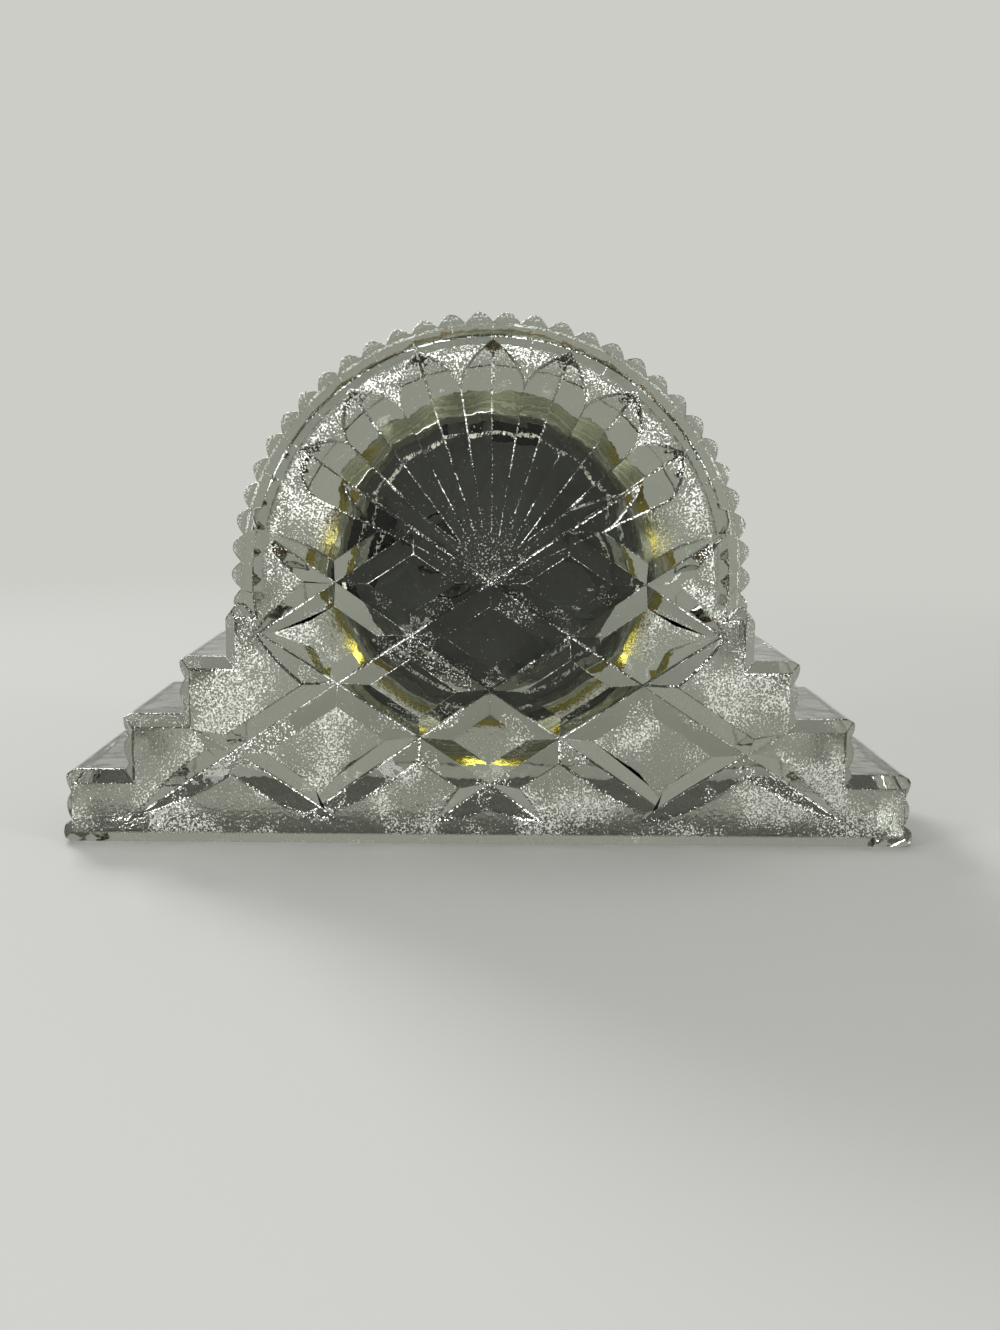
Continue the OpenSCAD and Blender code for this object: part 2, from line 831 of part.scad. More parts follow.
module cannon_pinion() {
    color([0.85, 0.72, 0.4])
        on_seat() {
            difference() {
                lift(layer_minute)
                    gear(cannon_teeth, minute_module, pinion_thick, works_angle);
                rod(cannon_bore, layer_minute - 1, layer_minute + 2);
            }
            tube(cannon_tube, cannon_bore, layer_centre - 0.1, minute_hand_back + hand_thick);
        }
}

module minute_hand() {
    color([0.07, 0.07, 0.08])
        on_seat()
            rotate(-minute_angle)
                spade_hand(minute_length, 1.1, cannon_tube + touch, 1.9, minute_hand_back);
}

module seconds_wheel() {
    color([0.85, 0.72, 0.4])
        on_seat() {
            rod(seconds_arbor, rear_plate_back + 0.2, second_hand_back + 0.15);
            lift(layer_seconds)
                gear(seconds_teeth, seconds_module, wheel_thick, fifth_angle);
            lift(layer_third - 0.1)
                gear(seconds_pinion_teeth, third_module, pinion_thick, third_angle);
        }
}

module second_hand() {
    tail = 7;
    color([0.83, 0.64, 0.28])
        on_seat()
            rotate(-second_angle)
                lift(second_hand_back) {
                    difference() {
                        union() {
                            linear_extrude(0.2)
                                polygon([
                                    [-0.35, -tail], [0.35, -tail],
                                    [0.1, second_length], [-0.1, second_length]
                                ]);
                            cylinder(r = 1.2, h = 0.2, $fn = small_fn);
                            translate([0, -tail + 1.2, 0])
                                cylinder(r = 1.1, h = 0.2, $fn = small_fn);
                        }
                        lift(-1)
                            cylinder(r = seconds_arbor + touch, h = 1.25, $fn = small_fn);
                    }
                    lift(0.2 - eps)
                        cylinder(r1 = 1.1, r2 = 0.8, h = 0.5, $fn = small_fn);
                }
}

module minute_works_wheel() {
    color([0.9, 0.9, 0.88])
        place(works_at) {
            rod(arbor, train_plate_back + 0.1, front_plate_back + 0.5);
            lift(layer_minute)
                gear(minute_teeth, minute_module, pinion_thick, gap_towards(works_angle + 180, minute_teeth));
            lift(layer_hour - 0.1)
                gear(minute_pinion_teeth, hour_module, pinion_thick + 0.1,
                    gap_towards(works_angle + 180, minute_pinion_teeth));
        }
}

module centre_wheel() {
    color([0.85, 0.72, 0.4])
        on_seat()
            difference() {
                union() {
                    lift(layer_centre)
                        gear(centre_teeth, centre_module, wheel_thick, third_angle);
                    rod(1.6, layer_centre - 0.1, layer_centre + 0.6);
                }
                rod(cannon_tube + slack, layer_centre - 1, layer_centre + 2);
            }
}

module third_wheel() {
    back = third_angle + 180;
    color([0.9, 0.9, 0.88])
        place(third_at) {
            rod(arbor, train_plate_back + 0.1, front_plate_back + 0.5);
            lift(layer_third)
                gear(third_teeth, third_module, wheel_thick, gap_towards(back, third_teeth));
            lift(layer_centre - 0.1)
                gear(third_pinion_teeth, centre_module, pinion_thick, gap_towards(back, third_pinion_teeth));
        }
}

module fifth_wheel() {
    color([0.9, 0.9, 0.88])
        place(fifth_at) {
            rod(arbor, rear_plate_back + 0.2, train_plate_front - 0.1);
            lift(layer_seconds - 0.1)
                gear(fifth_pinion_teeth, seconds_module, pinion_thick,
                    gap_towards(fifth_angle + 180, fifth_pinion_teeth));
            lift(layer_fifth)
                gear(fifth_teeth, rotor_module, wheel_thick, rotor_angle);
        }
}

module rotor_magnet() {
    color([0.3, 0.3, 0.33])
        place(rotor_at)
            tube(magnet_radius, 0.3 + touch, rear_plate_front + 0.15, rear_plate_front + 0.75);
}

module rotor_pinion() {
    color([0.9, 0.9, 0.88])
        place(rotor_at) {
            rod(arbor, rear_plate_back + 0.2, train_plate_front - 0.1);
            rod(0.3, rear_plate_front + 0.1, layer_fifth);
            lift(layer_fifth - 0.1)
                gear(rotor_teeth, rotor_module, pinion_thick, gap_towards(rotor_angle + 180, rotor_teeth));
        }
}

module setting_stem() {
    color([0.9, 0.9, 0.88])
        place(setting_at) {
            rod(stem_radius, case_back - 0.4, layer_minute + eps);
            lift(layer_minute)
                gear(setting_teeth, minute_module, pinion_thick, works_angle);
            rod(arbor, layer_minute, front_plate_back + 0.5);
        }
}

module setting_knob() {
    knob_radius = 3.2;
    flutes = 16;
    knob_front = case_back - 0.4;
    knob_back = case_back - 1.9;
    color([0.1, 0.1, 0.1])
        place(setting_at)
            difference() {
                rod(knob_radius, knob_back, knob_front, $fn);
                for (i = [0 : flutes - 1])
                    rotate(i * 360 / flutes)
                        translate([knob_radius + 0.25, 0, 0])
                            rod(0.5, knob_back - 1, knob_front + 1);
                rod(stem_radius + touch, knob_back + 0.5, knob_front + 1);
            }
}

module battery_hatch() {
    color([0.17, 0.17, 0.18])
        place(battery_at)
            difference() {
                union() {
                    rod(hatch_radius, case_back, case_back + hatch_lip - 0.1, $fn);
                    rod(hatch_neck, case_back + 0.1, case_floor + 0.6, $fn);
                    lift(case_floor + 0.1)
                        sector_pair(hatch_lug, lug_angle, lug_start, 0.5);
                }
                translate([-4.5, -0.7, case_back - 1])
                    cube([9, 1.4, 1.6]);
            }
}

crystal_body();
bezel_ring();
lens();
lens_gasket();
reflector_ring();
dial();
grip_band();
rear_case();
movement_front_plate();
movement_rear_plate();
train_plate();
plate_screws();
stator();
coil_core();
coil_bobbin();
coil_winding();
circuit_board();
quartz_can();
chip_cover();
battery();
battery_contact_positive();
battery_contact_negative();
hour_wheel();
hour_hand();
cannon_pinion();
minute_hand();
seconds_wheel();
second_hand();
minute_works_wheel();
centre_wheel();
third_wheel();
fifth_wheel();
rotor_magnet();
rotor_pinion();
setting_stem();
setting_knob();
battery_hatch();
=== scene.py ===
"""Looks of a cut-crystal desk clock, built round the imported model. Metres, +Z up, dial at -Y."""
import math

import bmesh
import bpy
from mathutils import Matrix, Vector
from mathutils.bvhtree import BVHTree
from mathutils.kdtree import KDTree


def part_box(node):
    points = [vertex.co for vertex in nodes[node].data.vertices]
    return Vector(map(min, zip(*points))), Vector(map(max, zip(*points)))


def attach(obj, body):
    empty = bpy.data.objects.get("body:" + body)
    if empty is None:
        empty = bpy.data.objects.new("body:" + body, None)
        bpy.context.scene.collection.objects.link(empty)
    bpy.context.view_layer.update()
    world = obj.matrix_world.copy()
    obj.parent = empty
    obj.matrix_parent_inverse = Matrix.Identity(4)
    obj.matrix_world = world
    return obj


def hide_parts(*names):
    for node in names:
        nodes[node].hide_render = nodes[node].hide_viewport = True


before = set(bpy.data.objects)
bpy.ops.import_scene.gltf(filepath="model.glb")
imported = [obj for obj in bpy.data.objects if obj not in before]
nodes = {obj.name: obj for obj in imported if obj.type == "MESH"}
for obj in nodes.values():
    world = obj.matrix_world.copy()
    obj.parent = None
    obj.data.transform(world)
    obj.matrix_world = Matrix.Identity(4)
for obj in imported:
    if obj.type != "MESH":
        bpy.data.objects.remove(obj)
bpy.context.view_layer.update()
scene = bpy.context.scene
MM = 0.001


def linear(hex_colour):
    """An sRGB hex colour as linear red, green, blue and alpha."""
    shares = [int(hex_colour[i:i + 2], 16) / 255 for i in (1, 3, 5)]
    return [s / 12.92 if s <= 0.04045 else ((s + 0.055) / 1.055) ** 2.4 for s in shares] + [1]


def placed(name, data):
    """An object of that name in the scene, made of a mesh, a lamp or a camera."""
    made = bpy.data.objects.new(name, data)
    scene.collection.objects.link(made)
    return made


# Camera and light ----------------------------------------------------------------------

IMAGE_HEIGHT = 1330             # pixels
FOCAL_PIXELS = 1489.5           # the camera's focal length in those pixels
SENSOR = 36                     # mm, along the image's height
NEAREST, FARTHEST = 0.01, 20    # what the camera sees, in metres


def place_camera(at, pitch, roll, yaw):
    """A camera that looks along -Y, turned down by pitch, level but for roll and yaw."""
    down, tilt, turn = (math.radians(a) for a in (pitch, roll, yaw))
    forward = Vector((math.sin(turn) * math.cos(down), -math.cos(turn) * math.cos(down),
                      -math.sin(down)))
    level = Vector((-math.cos(turn), -math.sin(turn), 0))
    lift = level.cross(forward)
    right = level * math.cos(tilt) + lift * math.sin(tilt)
    up = lift * math.cos(tilt) - level * math.sin(tilt)
    data = bpy.data.cameras.new("photo_camera")
    data.sensor_width = SENSOR
    data.lens = FOCAL_PIXELS / IMAGE_HEIGHT * SENSOR
    data.clip_start, data.clip_end = NEAREST, FARTHEST
    camera = placed("photo_camera", data)
    camera.matrix_world = Matrix((
        (right.x, up.x, -forward.x, at[0]), (right.y, up.y, -forward.y, at[1]),
        (right.z, up.z, -forward.z, at[2]), (0, 0, 0, 1)))
    scene.camera = camera


place_camera((0.0001, 0.30585, 0.07625), pitch=8.18, roll=0.546, yaw=-0.397)

scene.view_settings.view_transform = "Standard"


def add(tree, kind, inputs=None, **settings):
    """Adds a node; an input's value may be a socket, which is linked, or a number or colour."""
    made = tree.nodes.new(kind)
    for name, value in settings.items():
        setattr(made, name, value)
    for name, value in (inputs or {}).items():
        socket = made.inputs[name]
        if isinstance(value, bpy.types.NodeSocket):
            tree.links.new(value, socket)
        else:
            socket.default_value = value
    return made


def surface(name):
    """An empty material and its node tree."""
    made = bpy.data.materials.new(name)
    made.use_nodes = True
    made.node_tree.nodes.clear()
    return made, made.node_tree


def finish_surface(tree, shader, volume=None):
    inputs = {"Surface": shader.outputs[0]}
    if volume:
        inputs["Volume"] = volume.outputs[0]
    add(tree, "ShaderNodeOutputMaterial", inputs)


PALE = "#cdcdc8"        # the paper sweep, and all of the room that is seen
PAPER = "#b4b4b0"       # the sweep near the clock, where the lamps brighten it
ROOM_LIGHT = 0.46       # what the room itself sheds, as a share of plain white


def seen_rays(tree):
    """1 for the rays that show the room: to the eye, in a reflection or through glass."""
    path = add(tree, "ShaderNodeLightPath")
    seen = path.outputs["Is Camera Ray"]
    for kind in ("Is Glossy Ray", "Is Transmission Ray"):
        seen = add(tree, "ShaderNodeMath", {0: seen, 1: path.outputs[kind]},
                   operation="MAXIMUM").outputs[0]
    return seen


def pale_room():
    """The world: as pale as the far paper where it is seen, and dimmer as a lamp."""
    world = bpy.data.worlds.new("pale_room")
    scene.world = world
    world.use_nodes = True
    tree = world.node_tree
    tree.nodes.clear()
    light = add(tree, "ShaderNodeBackground",
                {"Color": linear("#ffffff"), "Strength": ROOM_LIGHT})
    pale = add(tree, "ShaderNodeBackground", {"Color": linear(PALE), "Strength": 1.0})
    mix = add(tree, "ShaderNodeMixShader",
              {0: seen_rays(tree), 1: light.outputs[0], 2: pale.outputs[0]})
    add(tree, "ShaderNodeOutputWorld", {"Surface": mix.outputs[0]})


pale_room()

LAMP_AIM = Vector((0, 0, 0.05))
# Each lamp's name, degrees from +Y towards +X, degrees up, metres away, (width, height), watts
LAMPS = (
    ("over_camera", 4, 24, 0.95, (0.24, 0.24), 3.6),
    ("left_strip", 50, 16, 1.0, (0.14, 0.6), 2.6),
    ("right_strip", -56, 14, 1.0, (0.14, 0.5), 2.0),
    ("top_box", 160, 78, 1.1, (0.5, 0.4), 2.2),
    ("dial_side_box", 152, 28, 2.4, (0.8, 0.8), 46.0),
)


def soft_box(name, turn, rise, away, size, power):
    """A lamp that faces the clock."""
    data = bpy.data.lights.new(name, "AREA")
    data.shape, data.size, data.size_y = "RECTANGLE", size[0], size[1]
    data.energy = power
    turn, rise = math.radians(turn), math.radians(rise)
    towards = Vector((math.sin(turn) * math.cos(rise), math.cos(turn) * math.cos(rise),
                      math.sin(rise)))
    lamp = placed(name, data)
    lamp.location = LAMP_AIM + away * towards
    lamp.rotation_euler = towards.to_track_quat("Z", "Y").to_euler()


for lamp_row in LAMPS:
    soft_box(*lamp_row)

SWEEP = 6                           # half the paper's width, in metres
PALE_FROM, PALE_TO = 0.17, 0.65     # metres from the clock over which it turns as pale as the room


def paper_sweep():
    """The floor: paper that takes the shadow, and far off is as pale as the room."""
    mesh = bpy.data.meshes.new("paper_sweep")
    corners = [(-SWEEP, -SWEEP, 0), (SWEEP, -SWEEP, 0), (SWEEP, SWEEP, 0), (-SWEEP, SWEEP, 0)]
    mesh.from_pydata(corners, [], [(0, 1, 2, 3)])
    floor = placed("paper_sweep", mesh)
    material, tree = surface("matt_paper")
    paper = add(tree, "ShaderNodeBsdfPrincipled",
                {"Base Color": linear(PAPER), "Roughness": 0.9, "Specular IOR Level": 0.2})
    pale = add(tree, "ShaderNodeEmission", {"Color": linear(PALE), "Strength": 1.0})
    where = add(tree, "ShaderNodeNewGeometry")
    away = add(tree, "ShaderNodeVectorMath", {0: where.outputs["Position"]}, operation="LENGTH")
    far = add(tree, "ShaderNodeMapRange",
              {"Value": away.outputs["Value"], "From Min": PALE_FROM, "From Max": PALE_TO},
              interpolation_type="SMOOTHSTEP")
    share = add(tree, "ShaderNodeMath", {0: far.outputs[0], 1: seen_rays(tree)},
                operation="MULTIPLY")
    mix = add(tree, "ShaderNodeMixShader",
              {0: share.outputs[0], 1: paper.outputs[0], 2: pale.outputs[0]})
    finish_surface(tree, mix)
    mesh.materials.append(material)


paper_sweep()

# Where the marks of the mould and the wheel lie on the crystal ------------------------------

INSERT_AXIS = (0, 53.5 * MM)        # x and z of the insert and its bore
BACK_FACE, FRONT_FACE = 23.85 * MM, -20.15 * MM     # y of the crystal's two faces
BORE_FLOOR = -0.15 * MM             # y of the bore's floor
ARCH_MIDDLE = 52.3 * MM             # z of the arch's middle
ARCH_FOOT = 46 * MM, 48 * MM        # heights over which the arch's marks fade in
RAY_HUB = 51.3 * MM                 # z where the rays meet
RAY_PITCH = math.radians(18.4)      # from one ray to the next
RAY_SPREAD = 3.6 * RAY_PITCH        # from upright to just past the last ray
GROOVE_TOP = 49.5 * MM, 52 * MM     # heights over which the grooves give way to the rays
# Radii round the arch's middle, from the rays outwards
RAY_TIPS = 38 * MM, 42 * MM         # where the rays run out
GRIT_END = 42.4 * MM
STIPPLE_END = 42.6 * MM
BAND = 43.4 * MM                    # the plain band inside the teeth
HAIRLINE = 45 * MM                  # the line round the teeth
TEETH = 46.6 * MM
TOOTH_SLOPES = 47.8 * MM            # the teeth's sloped ends
RIM_BLEND = 1 * MM                  # over which each of these fades in
# Depths below the back face
SKIN = 0.2 * MM                     # within it, the flats
CUTS = 2.5 * MM                     # within it, all the cuts
TOOTH_END = 4.4 * MM                # within it, the teeth's sloped ends
HAIRLINE_DEPTH, HAIRLINE_HALF = 1.8 * MM, 0.22 * MM
# Cosines between a face and the back, past which it is a flat, or short of which a side of a cut
FLAT, SIDE = 0.985, 0.93


def masked_bump(tree, height, mask, depth, below=None):
    """A bump of the given depth in metres, where the mask is 1."""
    share = add(tree, "ShaderNodeMath", {0: height, 1: mask}, operation="MULTIPLY")
    inputs = {"Height": share.outputs[0], "Distance": depth, "Strength": 1.0}
    if below:
        inputs["Normal"] = below
    return add(tree, "ShaderNodeBump", inputs).outputs[0]


def along(tree, coords, direction, pitch):
    """How far the surface lies along a direction, in pitches."""
    dot = add(tree, "ShaderNodeVectorMath", {0: coords, 1: direction}, operation="DOT_PRODUCT")
    return add(tree, "ShaderNodeMath", {0: dot.outputs["Value"], 1: pitch},
               operation="DIVIDE").outputs[0]


def outward(tree, coords, middle, pitch=1.0):
    """How far the surface lies from an axis along Y through middle (x, z), in pitches."""
    flat = add(tree, "ShaderNodeVectorMath", {0: coords, 1: (1, 0, 1)}, operation="MULTIPLY")
    off = add(tree, "ShaderNodeVectorMath", {0: flat.outputs[0], 1: (middle[0], 0, middle[1])},
              operation="SUBTRACT")
    radius = add(tree, "ShaderNodeVectorMath", {0: off.outputs[0]}, operation="LENGTH")
    return add(tree, "ShaderNodeMath", {0: radius.outputs["Value"], 1: pitch},
               operation="DIVIDE").outputs[0]


def facing_back(tree):
    """How far the surface faces the back: 1 straight at it, -1 at the dial's side."""
    normal = add(tree, "ShaderNodeNewGeometry").outputs["True Normal"]
    return add(tree, "ShaderNodeSeparateXYZ", {0: normal}).outputs["Y"]


def near_back(tree, coords, depth):
    """1 within that depth of the back face."""
    place = add(tree, "ShaderNodeSeparateXYZ", {0: coords})
    return add(tree, "ShaderNodeMath", {0: place.outputs["Y"], 1: BACK_FACE - depth},
               operation="GREATER_THAN").outputs[0]


def between(tree, coords, height, inner, outer):
    """0 to 1 from inner to outer metres away from an axis along Y at that height."""
    away = outward(tree, coords, (0, height))
    return add(tree, "ShaderNodeMapRange",
               {"Value": away, "From Min": inner, "From Max": outer}).outputs[0]


def arch_rim(tree, coords, start):
    """1 round the arch past that radius."""
    past = between(tree, coords, ARCH_MIDDLE, start, start + RIM_BLEND)
    height = add(tree, "ShaderNodeSeparateXYZ", {0: coords}).outputs["Z"]
    high = add(tree, "ShaderNodeMapRange", {
        "Value": height, "From Min": ARCH_FOOT[0], "From Max": ARCH_FOOT[1]}).outputs[0]
    return add(tree, "ShaderNodeMath", {0: past, 1: high}, operation="MULTIPLY").outputs[0]


BAND_CALM = 0.25        # what the plain band's edges lack of the others' raggedness


def cut_edges(tree, coords):
    """1 on the edges of the back face's cuts and of the teeth, less round the band between."""
    teeth = arch_rim(tree, coords, TEETH)
    band = add(tree, "ShaderNodeMath", {0: arch_rim(tree, coords, BAND), 1: teeth},
               operation="SUBTRACT", use_clamp=True).outputs[0]
    near = add(tree, "ShaderNodeMath", {0: near_back(tree, coords, CUTS), 1: teeth},
               operation="MAXIMUM").outputs[0]
    return add(tree, "ShaderNodeMath", {0: band, 1: -BAND_CALM, 2: near},
               operation="MULTIPLY_ADD", use_clamp=True).outputs[0]


STIPPLE_START = 29 * MM, 33 * MM    # from the insert's axis; the glass before the insert is plain


def stippled_flats(tree, coords):
    """1 on the back face's flats outside the insert and inside the arch's rim, and on a hairline
    round the teeth."""
    facing = add(tree, "ShaderNodeMath", {0: facing_back(tree)},
                 operation="ABSOLUTE").outputs[0]
    flat = add(tree, "ShaderNodeMath", {0: facing, 1: FLAT}, operation="GREATER_THAN").outputs[0]
    outside = between(tree, coords, INSERT_AXIS[1], *STIPPLE_START)
    share = add(tree, "ShaderNodeMath", {0: outside, 1: arch_rim(tree, coords, STIPPLE_END)},
                operation="SUBTRACT", use_clamp=True).outputs[0]
    for mask in (flat, near_back(tree, coords, SKIN)):
        share = add(tree, "ShaderNodeMath", {0: share, 1: mask}, operation="MULTIPLY").outputs[0]
    depth = add(tree, "ShaderNodeSeparateXYZ", {0: coords}).outputs["Y"]
    line = add(tree, "ShaderNodeMath",
               {0: depth, 1: BACK_FACE - HAIRLINE_DEPTH, 2: HAIRLINE_HALF},
               operation="COMPARE").outputs[0]
    line = add(tree, "ShaderNodeMath", {0: line, 1: arch_rim(tree, coords, HAIRLINE)},
               operation="MULTIPLY").outputs[0]
    return add(tree, "ShaderNodeMath", {0: share, 1: line}, operation="MAXIMUM").outputs[0]


# Specks of the crystal --------------------------------------------------------------------

STIPPLE = 0.36 * MM         # the mould's stipple is finer; drawn as coarse as it needs to show
PATCH = 9 * MM              # the size of its brighter patches
PATCH_RANGE = 0.4, 0.62     # from where its clouds begin to lift the stipple to where they stop
PATCH_LIFT = 0.17
SPECK_EDGE = 0.02           # over which a speck's clouds pass from dull to bright


def stipple(tree, coords):
    """The worm-like curls of the stipple, as clouds."""
    return add(tree, "ShaderNodeTexNoise", {
        "Vector": coords, "Scale": 1 / STIPPLE, "Detail": 2.0, "Roughness": 0.55}).outputs["Fac"]


def glitter(tree, coords, start):
    """1 on the specks that flash, in curls and patches; fewer with a higher start."""
    cloud = add(tree, "ShaderNodeTexNoise", {
        "Vector": coords, "Scale": 1 / PATCH, "Detail": 1.0}).outputs["Fac"]
    patch = add(tree, "ShaderNodeMapRange", {
        "Value": cloud, "From Min": PATCH_RANGE[0], "From Max": PATCH_RANGE[1],
        "To Max": PATCH_LIFT}).outputs[0]
    lifted = add(tree, "ShaderNodeMath", {0: patch, 1: stipple(tree, coords)},
                 operation="ADD").outputs[0]
    return add(tree, "ShaderNodeMapRange",
               {"Value": lifted, "From Min": start, "From Max": start + SPECK_EDGE},
               interpolation_type="SMOOTHSTEP").outputs[0]


RAY_LINE = 0.1 * MM, 0.2 * MM   # half the width of a hairline, and where it has faded out
RAY_START = 5 * MM, 8 * MM      # from the hub


def ray_lines(tree, coords):
    """1 on the hairlines where the sides of the rays meet, from near the hub outwards."""
    place = add(tree, "ShaderNodeSeparateXYZ", {0: coords})
    rise = add(tree, "ShaderNodeMath", {0: place.outputs["Z"], 1: RAY_HUB},
               operation="SUBTRACT").outputs[0]
    turn = add(tree, "ShaderNodeMath", {0: place.outputs["X"], 1: rise},
               operation="ARCTAN2").outputs[0]
    radius = outward(tree, coords, (0, RAY_HUB))
    off = add(tree, "ShaderNodeMath", {0: turn, 1: RAY_PITCH / 4},
              operation="PINGPONG").outputs[0]
    off = add(tree, "ShaderNodeMath", {0: off, 1: radius}, operation="MULTIPLY").outputs[0]
    line = add(tree, "ShaderNodeMapRange", {
        "Value": off, "From Min": RAY_LINE[0], "From Max": RAY_LINE[1],
        "To Min": 1.0, "To Max": 0.0}).outputs[0]
    out = between(tree, coords, RAY_HUB, *RAY_START)
    fan = add(tree, "ShaderNodeMath", {0: turn, 1: 0.0, 2: RAY_SPREAD},
              operation="COMPARE").outputs[0]
    for mask in (out, fan):
        line = add(tree, "ShaderNodeMath", {0: line, 1: mask}, operation="MULTIPLY").outputs[0]
    return line


HUB_MIDDLE = RAY_HUB + 4 * MM   # z of the hub's specks
HUB_REACH = 3 * MM, 13 * MM     # over which they grow fewer
GROOVE_PATCH = 8 * MM           # size of the patches on the grooves' sides
GROOVE_RANGE = 0.52, 0.58
GRIT_START = 0.73               # clouds that come up to it are specks
# How far each place lifts the clouds towards it
HUB_GRIT, TIP_GRIT, GROOVE_GRIT, LINE_GRIT, TOOTH_GRIT = 0.12, 0.22, 0.14, 0.17, 0.19


def cut_grit(tree, coords):
    """1 on specks that the wheel left in the cuts: where the rays meet, along them and where
    they run out, in patches on the sides of the grooves below, and on the teeth's ends."""
    height = add(tree, "ShaderNodeSeparateXYZ", {0: coords}).outputs["Z"]
    above = add(tree, "ShaderNodeMapRange", {
        "Value": height, "From Min": GROOVE_TOP[0], "From Max": GROOVE_TOP[1]}).outputs[0]
    hub = add(tree, "ShaderNodeMapRange", {
        "Value": outward(tree, coords, (0, HUB_MIDDLE)), "From Min": HUB_REACH[0],
        "From Max": HUB_REACH[1], "To Min": HUB_GRIT, "To Max": 0.0}).outputs[0]
    hub = add(tree, "ShaderNodeMath", {0: hub, 1: above}, operation="MULTIPLY").outputs[0]
    tips = between(tree, coords, ARCH_MIDDLE, *RAY_TIPS)
    for share in (TIP_GRIT, above):
        tips = add(tree, "ShaderNodeMath", {0: tips, 1: share}, operation="MULTIPLY").outputs[0]
    tips = add(tree, "ShaderNodeMath", {0: tips, 1: arch_rim(tree, coords, GRIT_END)},
               operation="SUBTRACT").outputs[0]
    lines = add(tree, "ShaderNodeMath", {0: ray_lines(tree, coords), 1: LINE_GRIT},
                operation="MULTIPLY").outputs[0]
    sloped = add(tree, "ShaderNodeMath", {0: facing_back(tree), 1: SIDE},
                 operation="LESS_THAN").outputs[0]
    cloud = add(tree, "ShaderNodeTexNoise", {
        "Vector": coords, "Scale": 1 / GROOVE_PATCH, "Detail": 0.0}).outputs["Fac"]
    patch = add(tree, "ShaderNodeMapRange", {
        "Value": cloud, "From Min": GROOVE_RANGE[0], "From Max": GROOVE_RANGE[1],
        "To Min": 0.0, "To Max": GROOVE_GRIT}).outputs[0]
    patch = add(tree, "ShaderNodeMath", {0: patch, 1: sloped}, operation="MULTIPLY").outputs[0]
    sides = add(tree, "ShaderNodeMath", {0: patch, 1: above}, operation="SUBTRACT").outputs[0]
    slopes = add(tree, "ShaderNodeMath",
                 {0: arch_rim(tree, coords, TOOTH_SLOPES), 1: near_back(tree, coords, TOOTH_END)},
                 operation="MULTIPLY").outputs[0]
    ends = add(tree, "ShaderNodeMath", {0: slopes, 1: TOOTH_GRIT},
               operation="MULTIPLY").outputs[0]
    where = hub
    for other in (tips, lines, sides, ends):
        where = add(tree, "ShaderNodeMath", {0: where, 1: other}, operation="MAXIMUM").outputs[0]
    lifted = add(tree, "ShaderNodeMath", {0: stipple(tree, coords), 1: where}, operation="ADD")
    specks = add(tree, "ShaderNodeMapRange", {
        "Value": lifted.outputs[0], "From Min": GRIT_START, "From Max": GRIT_START + SPECK_EDGE})
    near = add(tree, "ShaderNodeMath", {0: near_back(tree, coords, CUTS), 1: slopes},
               operation="MAXIMUM").outputs[0]
    return add(tree, "ShaderNodeMath", {0: specks.outputs[0], 1: near},
               operation="MULTIPLY").outputs[0]


PLUNGER = 26.6 * MM             # radius of the ring that the plunger's edge left in the bore
PLUNGER_HALF = 0.4 * MM         # half its width
FLOOR_HALF = 0.3 * MM           # how far off the floor's depth it may lie
PLUNGER_PATCH, PATCH_SHARE = 5 * MM, 0.4    # the clouds that break it up, and their share
PLUNGER_START = 0.71


def plunger_mark(tree, coords):
    """1 on the broken ring of specks that the mould's plunger left on the floor of the bore."""
    off = outward(tree, coords, INSERT_AXIS)
    on = add(tree, "ShaderNodeMath", {0: off, 1: PLUNGER, 2: PLUNGER_HALF},
             operation="COMPARE").outputs[0]
    depth = add(tree, "ShaderNodeSeparateXYZ", {0: coords}).outputs["Y"]
    floor = add(tree, "ShaderNodeMath", {0: depth, 1: BORE_FLOOR, 2: FLOOR_HALF},
                operation="COMPARE").outputs[0]
    cloud = add(tree, "ShaderNodeTexNoise", {
        "Vector": coords, "Scale": 1 / PLUNGER_PATCH, "Detail": 0.0}).outputs["Fac"]
    fine = add(tree, "ShaderNodeTexNoise", {
        "Vector": coords, "Scale": 1 / STIPPLE, "Detail": 1.0}).outputs["Fac"]
    specks = add(tree, "ShaderNodeMath", {0: cloud, 1: PATCH_SHARE, 2: fine},
                 operation="MULTIPLY_ADD").outputs[0]
    specks = add(tree, "ShaderNodeMapRange", {
        "Value": specks, "From Min": PLUNGER_START,
        "From Max": PLUNGER_START + SPECK_EDGE}).outputs[0]
    for mask in (on, floor):
        specks = add(tree, "ShaderNodeMath", {0: specks, 1: mask},
                     operation="MULTIPLY").outputs[0]
    return specks


# Materials -------------------------------------------------------------------------------

SKIN_TINT = "#babdb5"       # the faint grey-green that the glass gives to all seen through it
DEPTH_TINT, DEPTH_DENSITY = "#d3d6c4", 10.0     # and what its thickness adds, per metre
SURFACE_TINT = "#b4b4b4"    # holds down the pale room's reflection in it


